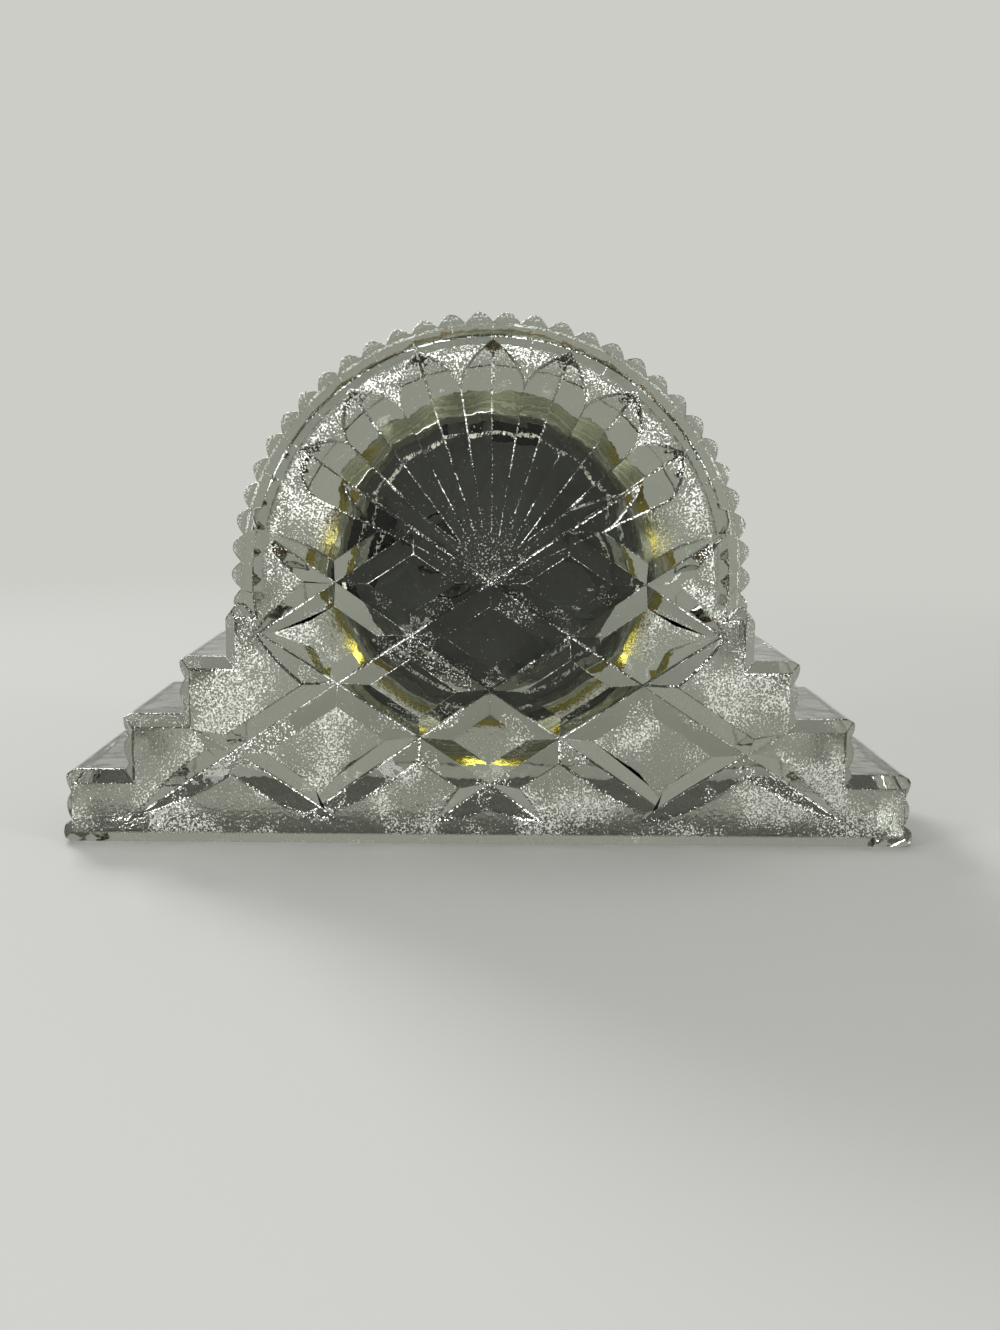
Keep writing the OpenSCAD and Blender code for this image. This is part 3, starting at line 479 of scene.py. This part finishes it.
def pressed_crystal(name, rough, start, flash_tint, flash_rough, edge=False):
    """Pressed lead crystal, fire polished: clear grey-green with faint waves and ripples. The
    mould has stippled its back flats, so they glitter, and so do the ragged edges of the cuts.
    Its specks are small mirrors, and start says how few there are."""
    material, tree = surface(name)
    coords = add(tree, "ShaderNodeTexCoord").outputs["Object"]
    where = cut_edges(tree, coords) if edge else stippled_flats(tree, coords)
    # waves of the whole surface, ripples of the mould's wall, and nicks where it is rough
    normal = None
    for size, detail, crisp, mask, depth in (
            (9 * MM, 1.0, 0.5, 1.0, 0.35 * MM), (2.2 * MM, 2.0, 0.5, 1.0, 0.06 * MM),
            (0.8 * MM, 3.0, 0.6, where, 0.2 * MM)):
        cloud = add(tree, "ShaderNodeTexNoise", {
            "Vector": coords, "Scale": 1 / size, "Detail": detail, "Roughness": crisp})
        normal = masked_bump(tree, cloud.outputs["Fac"], mask, depth, normal)
    flash = add(tree, "ShaderNodeMath", {0: glitter(tree, coords, start), 1: where},
                operation="MULTIPLY").outputs[0]
    if not edge:
        flash = add(tree, "ShaderNodeMath", {0: flash, 1: cut_grit(tree, coords)},
                    operation="MAXIMUM").outputs[0]
    inside = add(tree, "ShaderNodeNewGeometry").outputs["Backfacing"]
    outer = add(tree, "ShaderNodeMath", {0: 1, 1: inside}, operation="SUBTRACT").outputs[0]
    flash = add(tree, "ShaderNodeMath", {0: flash, 1: outer}, operation="MULTIPLY").outputs[0]
    if not edge:
        flash = add(tree, "ShaderNodeMath", {0: flash, 1: plunger_mark(tree, coords)},
                    operation="MAXIMUM").outputs[0]
    roughness = add(tree, "ShaderNodeMapRange", {
        "Value": flash, "To Min": rough, "To Max": flash_rough}).outputs[0]
    tint = add(tree, "ShaderNodeMix", {
        "Factor": flash, 6: linear(SKIN_TINT), 7: linear(flash_tint)},
        data_type="RGBA").outputs[2]
    shader = add(tree, "ShaderNodeBsdfPrincipled", {
        "Base Color": tint, "Roughness": roughness, "IOR": 1.54, "Transmission Weight": 1.0,
        "Metallic": flash, "Specular Tint": linear(SURFACE_TINT), "Normal": normal})
    volume = add(tree, "ShaderNodeVolumeAbsorption",
                 {"Color": linear(DEPTH_TINT), "Density": DEPTH_DENSITY})
    finish_surface(tree, shader, volume)
    return material


crystal = pressed_crystal("pressed_crystal", 0.02, 0.665, "#ecede6", 0.36)
crystal_edge = pressed_crystal("pressed_crystal_edge", 0.08, 0.65, "#f6f7f2", 0.22, edge=True)


def lens_crystal():
    """Mineral glass, domed and polished: clear, all reflection, with hairline scratches."""
    material, tree = surface("polished_lens_glass")
    coords = add(tree, "ShaderNodeTexCoord").outputs["Object"]
    hairs = add(tree, "ShaderNodeMapping",
                {"Vector": coords, "Rotation": (0, 0.5, 0), "Scale": (1, 1, 14)})
    scratch = add(tree, "ShaderNodeTexNoise", {
        "Vector": hairs.outputs[0], "Scale": 1 / (5 * MM), "Detail": 3.0, "Roughness": 0.7})
    fine = add(tree, "ShaderNodeMapRange", {
        "Value": scratch.outputs["Fac"], "From Min": 0.55, "From Max": 0.75,
        "To Min": 0.0, "To Max": 0.05}).outputs[0]
    shader = add(tree, "ShaderNodeBsdfPrincipled", {
        "Base Color": linear("#ffffff"), "Roughness": fine, "IOR": 1.5,
        "Transmission Weight": 1.0})
    finish_surface(tree, shader)
    return material


DRIFT = 7 * MM      # size of the patches over which a finish's colour and gloss drift
COLOUR_RANGE, GLOSS_RANGE = (0.35, 0.65), (0.3, 0.7)    # of the clouds, from one end to the other


def finished(name, colours, rough, metallic=0.0, grain=(0.4 * MM, 0.01 * MM), tool=None,
             wound=None, **sockets):
    """A surface whose colour and gloss drift between two ends over patches, with a fine grain of
    (size, depth) and, where a tool left them, turned rings ("rings", middle, pitch, depth) or
    drawn lines ("lines", direction across them, pitch, depth). wound is the same for the turns
    of a winding: (direction across them, pitch, depth)."""
    material, tree = surface(name)
    coords = add(tree, "ShaderNodeTexCoord").outputs["Object"]
    cloud = add(tree, "ShaderNodeTexNoise", {
        "Vector": coords, "Scale": 1 / DRIFT, "Detail": 3.0, "Roughness": 0.6}).outputs["Fac"]
    drift = add(tree, "ShaderNodeMapRange", {
        "Value": cloud, "From Min": COLOUR_RANGE[0], "From Max": COLOUR_RANGE[1]})
    colour = add(tree, "ShaderNodeMix", {
        "Factor": drift.outputs[0], 6: linear(colours[0]), 7: linear(colours[1])},
        data_type="RGBA")
    pebble = add(tree, "ShaderNodeTexNoise", {
        "Vector": coords, "Scale": 1 / grain[0], "Detail": 2.0, "Roughness": 0.6})
    normal = masked_bump(tree, pebble.outputs["Fac"], 1.0, grain[1])
    gloss = cloud
    if tool:
        kind, guide, pitch, depth = tool
        run = (outward if kind == "rings" else along)(tree, coords, guide, pitch)
        gloss = add(tree, "ShaderNodeTexNoise", {"W": run, "Scale": 1.0, "Detail": 3.0},
                    noise_dimensions="1D").outputs["Fac"]
        normal = masked_bump(tree, gloss, 1.0, depth, normal)
    if wound:
        turns = along(tree, coords, wound[0], wound[1] / math.tau)
        thread = add(tree, "ShaderNodeMath", {0: turns}, operation="SINE")
        normal = masked_bump(tree, thread.outputs[0], 1.0, wound[2] / 2, normal)
    roughness = add(tree, "ShaderNodeMapRange", {
        "Value": gloss, "From Min": GLOSS_RANGE[0], "From Max": GLOSS_RANGE[1],
        "To Min": rough[0], "To Max": rough[1]})
    shader = add(tree, "ShaderNodeBsdfPrincipled", {
        "Base Color": colour.outputs[2], "Roughness": roughness.outputs[0],
        "Metallic": metallic, "Normal": normal, **sockets})
    finish_surface(tree, shader)
    return material


RIM_BACK = 0.7                  # faces that look this much to the back are the rim's back
RIM_GLINT_EDGE = 33.4 * MM, 33.8 * MM     # radii over which the painted gold glint round the back's edge begins
RIM_GLINT_TOP = 74 * MM, 70 * MM      # heights over which that painted glint fades in, downwards
LIGHT_RING_PITCH = 0.45 * MM          # between the near-white rings of the back, which are painted light lines
SPUN_DULL = 0.3                 # what the back's roughness has over the front's


def rim_brass():
    """Spun brass, polished and lacquered in front: a warm mirror with faint turning rings. Its
    back, seen through the crystal, is dull pale olive, a painted dim reflection, with near-white
    rings as painted light lines. Low round its edge the back is bright gold, a painted glint
    through the cuts."""
    polished = finished("lacquered_brass", ("#dfb865", "#dab25e"), (0.09, 0.17), 1.0,
                        grain=(0.3 * MM, 0.004 * MM),
                        tool=("rings", INSERT_AXIS, 0.35 * MM, 0.006 * MM),
                        **{"Coat Weight": 0.3, "Coat Roughness": 0.08})
    tree = polished.node_tree
    shader = next(n for n in tree.nodes if n.type == "BSDF_PRINCIPLED")
    bright = shader.inputs["Base Color"].links[0].from_socket
    gloss = shader.inputs["Roughness"].links[0].from_socket
    back = add(tree, "ShaderNodeMath", {0: facing_back(tree), 1: RIM_BACK},
               operation="GREATER_THAN").outputs[0]
    coords = add(tree, "ShaderNodeTexCoord").outputs["Object"]
    height = add(tree, "ShaderNodeSeparateXYZ", {0: coords}).outputs["Z"]
    low = add(tree, "ShaderNodeMapRange", {
        "Value": height, "From Min": RIM_GLINT_TOP[0], "From Max": RIM_GLINT_TOP[1]}).outputs[0]
    outer = add(tree, "ShaderNodeMath",
                {0: between(tree, coords, INSERT_AXIS[1], *RIM_GLINT_EDGE), 1: low},
                operation="MULTIPLY").outputs[0]
    inner = add(tree, "ShaderNodeMath", {0: 1, 1: outer}, operation="SUBTRACT").outputs[0]
    edge = add(tree, "ShaderNodeMath", {0: back, 1: outer}, operation="MULTIPLY").outputs[0]
    back = add(tree, "ShaderNodeMath", {0: back, 1: inner}, operation="MULTIPLY").outputs[0]
    # the back's colour: pale olive, a painted dim reflection, with near-white rings as painted
    # light lines
    rings = add(tree, "ShaderNodeTexNoise", {
        "W": outward(tree, coords, INSERT_AXIS, LIGHT_RING_PITCH), "Scale": 1.0, "Detail": 1.0},
        noise_dimensions="1D").outputs["Fac"]
    rings = add(tree, "ShaderNodeMapRange", {
        "Value": rings, "From Min": 0.4, "From Max": 0.6}).outputs[0]
    painted_back_rings = add(tree, "ShaderNodeMix", {
        "Factor": rings, 6: linear("#d0cbb0"), 7: linear("#fffdf0")}, data_type="RGBA")
    colour = add(tree, "ShaderNodeMix", {"Factor": back, 6: bright, 7: painted_back_rings.outputs[2]},
                 data_type="RGBA")
    # the bright gold round the back's lower edge is a painted glint
    colour = add(tree, "ShaderNodeMix", {
        "Factor": edge, 6: colour.outputs[2], 7: linear("#efda6c")}, data_type="RGBA")
    dull = add(tree, "ShaderNodeMath", {0: back, 1: SPUN_DULL, 2: gloss},
               operation="MULTIPLY_ADD")
    tree.links.new(colour.outputs[2], shader.inputs["Base Color"])
    tree.links.new(dull.outputs[0], shader.inputs["Roughness"])
    return polished


def dress(material, *pieces):
    for name in pieces:
        slots = nodes[name].data.materials
        slots.clear()
        slots.append(material)


dress(crystal, "crystal_body")
dress(lens_crystal(), "lens")
dress(rim_brass(), "bezel_ring")
# ABS, moulded in a spark-eroded tool: dark grey, satin, with a fine even grain drawn at 0.5 mm
abs_case = finished("moulded_abs", ("#616163", "#6b6b6d"), (0.38, 0.52),
                    grain=(0.5 * MM, 0.035 * MM))
dress(abs_case, "rear_case", "battery_hatch")
# Near-black, dull ABS: painted shade on the walls and floors of the case's recesses, and the
# colour of the knob's arrows
black_abs_and_shade = finished("black_abs_and_painted_shade", ("#030303", "#070707"), (0.6, 0.75),
                    grain=(0.5 * MM, 0.03 * MM), **{"Specular IOR Level": 0.05})
# Polished ABS of the knob: near black and glossy, with handling scuffs
polished_abs = finished("polished_abs", ("#131314", "#1c1c1d"), (0.15, 0.35),
                        grain=(0.9 * MM, 0.01 * MM))
dress(polished_abs, "setting_knob")
# Soft clear vinyl: milky yellowish rings that let the light through
vinyl = finished("soft_vinyl", ("#e9e6cf", "#ded9bb"), (0.22, 0.34), grain=(0.6 * MM, 0.02 * MM),
                 **{"Transmission Weight": 0.75, "IOR": 1.5})
dress(vinyl, "grip_band")
# Moulded nitrile rubber: black, matt, faintly dusty
dress(finished("moulded_rubber", ("#161616", "#222221"), (0.7, 0.9),
               grain=(0.3 * MM, 0.02 * MM)), "lens_gasket")
# Sprayed ivory enamel of the dial: satin, almost even, a breath of mottling
dress(finished("ivory_enamel", ("#efe8d2", "#f2ecda"), (0.35, 0.45),
               grain=(0.35 * MM, 0.004 * MM)), "dial")
# Moulded ivory styrene: a little shinier than the dial, with turning marks of its tool
dress(finished("moulded_styrene", ("#ebe3cb", "#f1ead6"), (0.3, 0.42),
               tool=("rings", INSERT_AXIS, 0.5 * MM, 0.01 * MM)),
      "reflector_ring", "coil_bobbin")
# Black gloss lacquer on stamped brass hands
dress(finished("black_lacquer", ("#0e0e10", "#161618"), (0.14, 0.24),
               grain=(0.7 * MM, 0.006 * MM)), "hour_hand", "minute_hand")
# Polished brass of the second hand
dress(finished("polished_brass", ("#dcb35c", "#d2a44c"), (0.12, 0.2), 1.0,
               tool=("lines", (0.5, 0, 0.87), 0.3 * MM, 0.004 * MM)), "second_hand")
# Glass-filled nylon of the movement: dark grey, dull, faintly fibrous
dress(finished("filled_nylon", ("#2e2f31", "#37383a"), (0.5, 0.65),
               grain=(0.4 * MM, 0.03 * MM)), "movement_front_plate", "movement_rear_plate")
# Acetal wheels: milk white, waxy
dress(finished("moulded_acetal", ("#e6e5da", "#efeee6"), (0.28, 0.4),
               grain=(0.5 * MM, 0.006 * MM),
               **{"Subsurface Weight": 0.2, "Subsurface Radius": (0.6 * MM, 0.6 * MM, 0.5 * MM)}),
      "minute_works_wheel", "third_wheel", "fifth_wheel", "rotor_pinion", "setting_stem")
# Stamped brass, faced on the lathe: pale gold with fine rings round each piece's own middle
for wheel in ("hour_wheel", "cannon_pinion", "seconds_wheel", "centre_wheel", "train_plate"):
    low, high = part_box(wheel)
    hub = ((low.x + high.x) / 2, (low.z + high.z) / 2)
    dress(finished("faced_brass_" + wheel, ("#cfae66", "#c3a058"), (0.2, 0.36), 1.0,
                   tool=("rings", hub, 0.25 * MM, 0.01 * MM)), wheel)
# Nickel-plated steel: cool grey and bright, brushed along X
dress(finished("plated_steel", ("#c3c3c0", "#b2b2ae"), (0.18, 0.32), 1.0,
               tool=("lines", (0.1, 0, 1), 0.25 * MM, 0.008 * MM)),
      "plate_screws", "quartz_can", "battery")
# Phosphor bronze springs, tin plated, rolled
dress(finished("tinned_bronze", ("#c9c2ae", "#b9b09a"), (0.22, 0.36), 1.0,
               tool=("lines", (1, 0, 0.2), 0.2 * MM, 0.008 * MM)),
      "battery_contact_positive", "battery_contact_negative")
# Annealed iron laminations: blue-grey, dull, with the edges of the sheets drawn at 0.35 mm
dress(finished("annealed_iron", ("#7f8184", "#6d6f73"), (0.38, 0.5), 1.0,
               tool=("lines", (0, 1, 0), 0.35 * MM, 0.03 * MM)), "stator", "coil_core")
# Enamelled copper wire of 0.05 mm, drawn at 0.3 mm: red-brown, each turn catching the light
dress(finished("enamelled_copper", ("#b4623a", "#96492a"), (0.2, 0.3), 0.85,
               wound=((1, 0, 0), 0.3 * MM, 0.12 * MM)), "coil_winding")
# Solder mask on glass-epoxy board: deep green with its weave drawn at 0.5 mm
dress(finished("solder_mask", ("#1d5a38", "#246a43"), (0.22, 0.35), grain=(0.5 * MM, 0.02 * MM),
               wound=((1, 0, 0), 0.5 * MM, 0.01 * MM)), "circuit_board")
# Black epoxy drop over the chip: glossy, with slumped waves
dress(finished("cast_epoxy", ("#0f0f10", "#181819"), (0.1, 0.3),
               grain=(1.2 * MM, 0.05 * MM)), "chip_cover")
# Sintered ferrite: charcoal and grainy
dress(finished("sintered_ferrite", ("#3c3c3f", "#4a4a4d"), (0.5, 0.7), 0.2,
               grain=(0.25 * MM, 0.03 * MM)), "rotor_magnet")
# Screened black ink: slightly glossy and a hair's breadth thick
ink = finished("screened_ink", ("#171719", "#1e1e20"), (0.3, 0.45),
               grain=(0.3 * MM, 0.003 * MM))


def applied(piece):
    """Puts the result of a piece's modifiers in its mesh, and returns that mesh."""
    done = bpy.data.meshes.new_from_object(
        piece.evaluated_get(bpy.context.evaluated_depsgraph_get()))
    piece.modifiers.clear()
    piece.data = done
    return done


def smoothed(mesh, degrees):
    """Shades a mesh smooth, but for the edges that turn by more than that."""
    for face in mesh.polygons:
        face.use_smooth = True
    mesh.set_sharp_from_angle(angle=math.radians(degrees))


# The crystal's eased edges -----------------------------------------------------------------

EASE = 0.3 * MM             # fire polishing rounds the cut edges by about this much
EASE_STEPS = 2
EASE_ROOM = 0.35            # share of a corner's room that a rounding may take
EASE_TRIES = 7
EASE_BACK, EASE_LEAST = 0.4, 0.05   # what a try leaves of a rounding, and when it goes altogether
CROWDED = 1.2 * MM          # edges this near a trouble are eased less
WIDEST_CORNER = 2.6         # radians
SEAT_GAP = 0.05 * MM        # air between the crystal and the rim that lies on it
WELD = 0.002 * MM           # vertices nearer than this are one
IN_PLANE = math.radians(0.6)
SHARP_ANGLE = math.radians(12)
FOLD_ANGLE = math.radians(150)


def corner_room(bm):
    """The widest rounding that the corners at each edge's ends leave room for."""
    room = {}
    for face in bm.faces:
        for loop in face.loops:
            before, after = loop.link_loop_prev.edge, loop.edge
            ends = [e.other_vert(loop.vert).co - loop.vert.co for e in (before, after)]
            angle = min(ends[0].angle(ends[1], 2), WIDEST_CORNER)
            free = min(e.length for e in ends) * min(1, math.tan(angle / 2)) * EASE_ROOM
            for e in (before, after):
                room[e] = min(room.get(e, 1), free)
    return room


def rounded(bm, name):
    """An object of the mesh with its weighted edges rounded off."""
    mesh = bpy.data.meshes.new(name)
    bm.to_mesh(mesh)
    for material in (crystal, crystal_edge):
        mesh.materials.append(material)
    piece = placed(name, mesh)
    ease = piece.modifiers.new("ease", "BEVEL")
    ease.width, ease.segments, ease.limit_method = EASE, EASE_STEPS, "WEIGHT"
    ease.use_clamp_overlap = ease.loop_slide = False
    ease.material = 1
    done = applied(piece)
    bpy.data.meshes.remove(mesh)
    done.name = name
    return piece


def trouble(piece):
    """Where a rounding has run into another face or folded over."""
    bm = bmesh.new()
    bm.from_mesh(piece.data)
    bm.faces.ensure_lookup_table()
    tree = BVHTree.FromBMesh(bm)
    spots = []
    for i, j in tree.overlap(tree):
        pair = bm.faces[i], bm.faces[j]
        if i < j and not set(pair[0].verts) & set(pair[1].verts):
            spots.append(min(pair, key=lambda f: f.calc_area()).calc_center_median())
    spots += [(e.verts[0].co + e.verts[1].co) / 2 for e in bm.edges
              if e.calc_face_angle(0) > FOLD_ANGLE]
    bm.free()
    return spots


def eased_crystal():
    """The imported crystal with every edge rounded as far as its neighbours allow."""
    bm = bmesh.new()
    bm.from_mesh(nodes["crystal_body"].data)
    bmesh.ops.remove_doubles(bm, verts=bm.verts, dist=WELD)
    for v in bm.verts:
        v.co.y = max(v.co.y, FRONT_FACE + SEAT_GAP)
    bmesh.ops.dissolve_limit(bm, angle_limit=IN_PLANE, verts=bm.verts, edges=bm.edges)
    weight = bm.edges.layers.float.new("bevel_weight_edge")
    room = corner_room(bm)
    for e in bm.edges:
        if e.calc_face_angle(0) > SHARP_ANGLE:
            e[weight] = min(1, room[e] / EASE)
    for attempt in range(EASE_TRIES):
        piece = rounded(bm, "cut_crystal")
        spots = trouble(piece)
        if not spots or attempt == EASE_TRIES - 1:
            break
        near = KDTree(len(spots))
        for i, spot in enumerate(spots):
            near.insert(spot, i)
        near.balance()
        for e in bm.edges:
            if e[weight] > 0 and any(near.find(v.co)[2] < CROWDED for v in e.verts):
                e[weight] = e[weight] * EASE_BACK if e[weight] > EASE_LEAST else 0
        bpy.data.objects.remove(piece)
    bm.free()
    smoothed(piece.data, 36)
    even = piece.modifiers.new("even", "WEIGHTED_NORMAL")
    even.mode, even.weight, even.keep_sharp = "FACE_AREA", 80, True
    return piece


crystal_piece = eased_crystal()
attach(crystal_piece, "crystal")
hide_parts("crystal_body")

# The print on the dial ---------------------------------------------------------------------

DIAL_FACE = -16.05 * MM     # y of the dial's front
INK = 0.02 * MM             # its thickness
INK_LAYER = 0.2             # what each layer adds, so that no two strokes lie in one plane
NUMERALS = ("XII", "I", "II", "III", "IIII", "V", "VI", "VII", "VIII", "IX", "X", "XI")
NUMERAL_FOOT, NUMERAL_HEIGHT = 16.3, 4.4    # from the dial's middle, in mm
TRACK = (22.5, 23.9)                        # radii of the minute track's two rings, in mm
TRACK_HALF = 0.06                           # half the width of a ring, in mm
HOUR_HALF, MINUTE_HALF = 0.3, 0.08          # and of a mark between them
RING_STEPS = 240
# Shares of a numeral's height: strokes, half a serif, a letter's side, and between letters
THICK, THIN, SERIF = 0.17, 0.06, 0.055
SERIF_HALF, LETTER_SIDE, LETTER_GAP = 0.17, 0.16, 0.07
LETTER_WIDTH = {"I": 0.32, "V": 0.78, "X": 0.78}


def slanted(foot, head, width):
    """A stroke between the foot and the head line, given by where its middle meets them."""
    half = width / 2
    return [(foot - half, 0), (foot + half, 0), (head + half, 1), (head - half, 1)]


def flat_serif(middle, level):
    low = 0 if level == 0 else 1 - SERIF
    left, right = middle - SERIF_HALF, middle + SERIF_HALF
    return [(left, low), (right, low), (right, low + SERIF), (left, low + SERIF)]


def letter_strokes(letter):
    """Strokes of one roman letter, in a box of height 1, as (outline, ink layers)."""
    if letter == "I":
        middle = LETTER_WIDTH["I"] / 2
        return [(slanted(middle, middle, THICK), 1), (flat_serif(middle, 0), 2),
                (flat_serif(middle, 1), 2)]
    left, right = LETTER_SIDE, LETTER_WIDTH[letter] - LETTER_SIDE
    if letter == "V":
        middle = (left + right) / 2
        return [(slanted(middle, left, THICK), 1), (slanted(middle, right, THIN), 2),
                (flat_serif(left, 1), 3), (flat_serif(right, 1), 3)]
    return [(slanted(right, left, THICK), 1), (slanted(left, right, THIN), 2)] + [
        (flat_serif(x, level), 3) for x in (left, right) for level in (0, 1)]


def round_dial(x, z, hour):
    """A point of an upright drawing, turned clockwise to its hour."""
    angle = math.tau * hour / 12
    return x * math.cos(angle) + z * math.sin(angle), z * math.cos(angle) - x * math.sin(angle)


def numeral_strokes(hour):
    word = NUMERALS[hour]
    width = sum(LETTER_WIDTH[letter] + LETTER_GAP for letter in word) - LETTER_GAP
    start, strokes = -width / 2, []
    for letter in word:
        for outline, layers in letter_strokes(letter):
            spots = [((start + x) * NUMERAL_HEIGHT, NUMERAL_FOOT + z * NUMERAL_HEIGHT)
                     for x, z in outline]
            strokes.append(([round_dial(x, z, hour) for x, z in spots], layers))
        start += LETTER_WIDTH[letter] + LETTER_GAP
    return strokes


def minute_strokes():
    strokes = []
    for minute in range(60):
        half = HOUR_HALF if minute % 5 == 0 else MINUTE_HALF
        corners = [(-half, TRACK[0]), (half, TRACK[0]), (half, TRACK[1]), (-half, TRACK[1])]
        strokes.append(([round_dial(x, z, minute / 5) for x, z in corners], 1))
    return strokes


def raised(bm, outline, base, top, middle=(0, 0)):
    """A closed slab over an outline of (x, z) in mm round middle, between two y in metres."""
    rows = [[bm.verts.new(((x + middle[0]) * MM, y, (z + middle[1]) * MM + INSERT_AXIS[1]))
             for x, z in outline] for y in (base, top)]
    bm.faces.new(rows[0])
    bm.faces.new(rows[1][::-1])
    for i in range(len(outline)):
        j = (i + 1) % len(outline)
        bm.faces.new((rows[0][i], rows[1][i], rows[1][j], rows[0][j]))


def ring(bm, section):
    """A closed section of (radius in mm, y in metres) turned round the insert's axis."""
    rows = []
    for i in range(RING_STEPS):
        turn = math.tau * i / RING_STEPS
        rows.append([bm.verts.new((r * math.sin(turn) * MM, y,
                                   r * math.cos(turn) * MM + INSERT_AXIS[1]))
                     for r, y in section])
    for i in range(RING_STEPS):
        for k in range(len(section)):
            bm.faces.new((rows[i][k], rows[i][k - 1], rows[i - 1][k - 1], rows[i - 1][k]))


def made_piece(bm, name, body, material):
    """Turns a bmesh into a piece that rides on a body."""
    bmesh.ops.recalc_face_normals(bm, faces=bm.faces)
    mesh = bpy.data.meshes.new(name)
    bm.to_mesh(mesh)
    bm.free()
    mesh.materials.append(material)
    piece = placed(name, mesh)
    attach(piece, body)


bm = bmesh.new()
for strokes in [numeral_strokes(hour) for hour in range(12)] + [minute_strokes()]:
    for outline, layers in strokes:
        raised(bm, outline, DIAL_FACE + INK / 2, DIAL_FACE - INK * (1 + INK_LAYER * layers))
for radius in TRACK:
    inner, outer = radius - TRACK_HALF, radius + TRACK_HALF
    ring(bm, [(inner, DIAL_FACE + INK / 2), (inner, DIAL_FACE - 2 * INK),
              (outer, DIAL_FACE - 2 * INK), (outer, DIAL_FACE + INK / 2)])
made_piece(bm, "dial_print", "insert", ink)

# The case's back: two finger notches, the side recess and the marks round the knob -----------

CASE_BACK = -3.15 * MM      # y of the case's back
CASE_WELD = 0.0005 * MM
RECESS = 0.9 * MM           # depth of the recesses
TOOL_OVER = 2 * MM          # how far the cutting tool stands out of the case
# Outlines of (x, z) in mm from the insert's axis
TOP_NOTCH = [(-9.4, 24.6), (0.9, 24.6), (0.9, 31), (-9.4, 31)]
SMALL_NOTCH = [(5.2, 26.6), (7.6, 26.6), (7.6, 31), (5.2, 31)]
SIDE_RECESS = [(31, -6.5), (31, 12.5), (25.5, 12.5), (22.6, 9.5), (21.8, 5), (23.4, 0.5),
               (22.8, -3.5), (25, -6.5)]


def notched_case():
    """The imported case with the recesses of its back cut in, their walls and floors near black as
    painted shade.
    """
    bm = bmesh.new()
    for outline in (TOP_NOTCH, SMALL_NOTCH, SIDE_RECESS):
        raised(bm, outline, CASE_BACK - RECESS, CASE_BACK + TOOL_OVER)
    bmesh.ops.recalc_face_normals(bm, faces=bm.faces)
    tool_mesh = bpy.data.meshes.new("notch_tool")
    bm.to_mesh(tool_mesh)
    bm.free()
    bm = bmesh.new()
    bm.from_mesh(nodes["rear_case"].data)
    bmesh.ops.remove_doubles(bm, verts=bm.verts, dist=CASE_WELD)
    mesh = bpy.data.meshes.new("notched_case")
    bm.to_mesh(mesh)
    bm.free()
    # the tool's faces bring the near-black material to the cut walls and floors: painted shade
    for index, each in enumerate((mesh, tool_mesh)):
        each.materials.append(abs_case)
        each.materials.append(black_abs_and_shade)
        for face in each.polygons:
            face.material_index = index
    piece, tool = (placed(each.name, each) for each in (mesh, tool_mesh))
    cut = piece.modifiers.new("cut", "BOOLEAN")
    cut.operation, cut.solver, cut.object = "DIFFERENCE", "EXACT", tool
    done = applied(piece)
    bpy.data.objects.remove(tool)
    smoothed(done, 30)
    return piece


case_piece = notched_case()
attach(case_piece, "insert")
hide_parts("rear_case")

# Two moulded arrows that curve round the knob; radii in mm, angles in degrees
KNOB = (11.59, 3.11)
MARK_FOOT, MARK_TOP = CASE_BACK - 0.05 * MM, CASE_BACK + 0.2 * MM
ARROW_ARCS = (-150, -60), (30, 120)
ARROW_INNER, ARROW_MIDDLE, ARROW_OUTER = 4.5, 4.7, 4.9
HEAD_INNER, HEAD_OUTER = 3.9, 5.5
HEAD_START, HEAD_END = -1, 14       # from the end of the arc
ARC_STEPS = 14


def round_knob(radius, degrees):
    return radius * math.cos(math.radians(degrees)), radius * math.sin(math.radians(degrees))


bm = bmesh.new()
for low, high in ARROW_ARCS:
    arc = [low + (high - low) * i / ARC_STEPS for i in range(ARC_STEPS + 1)]
    shaft = ([round_knob(ARROW_OUTER, a) for a in arc]
             + [round_knob(ARROW_INNER, a) for a in arc[::-1]])
    head = [round_knob(ARROW_MIDDLE, high + HEAD_END),
            round_knob(HEAD_INNER, high + HEAD_START), round_knob(HEAD_OUTER, high + HEAD_START)]
    for outline in (shaft, head):
        raised(bm, outline, MARK_FOOT, MARK_TOP, KNOB)
made_piece(bm, "knob_arrows", "insert", black_abs_and_shade)
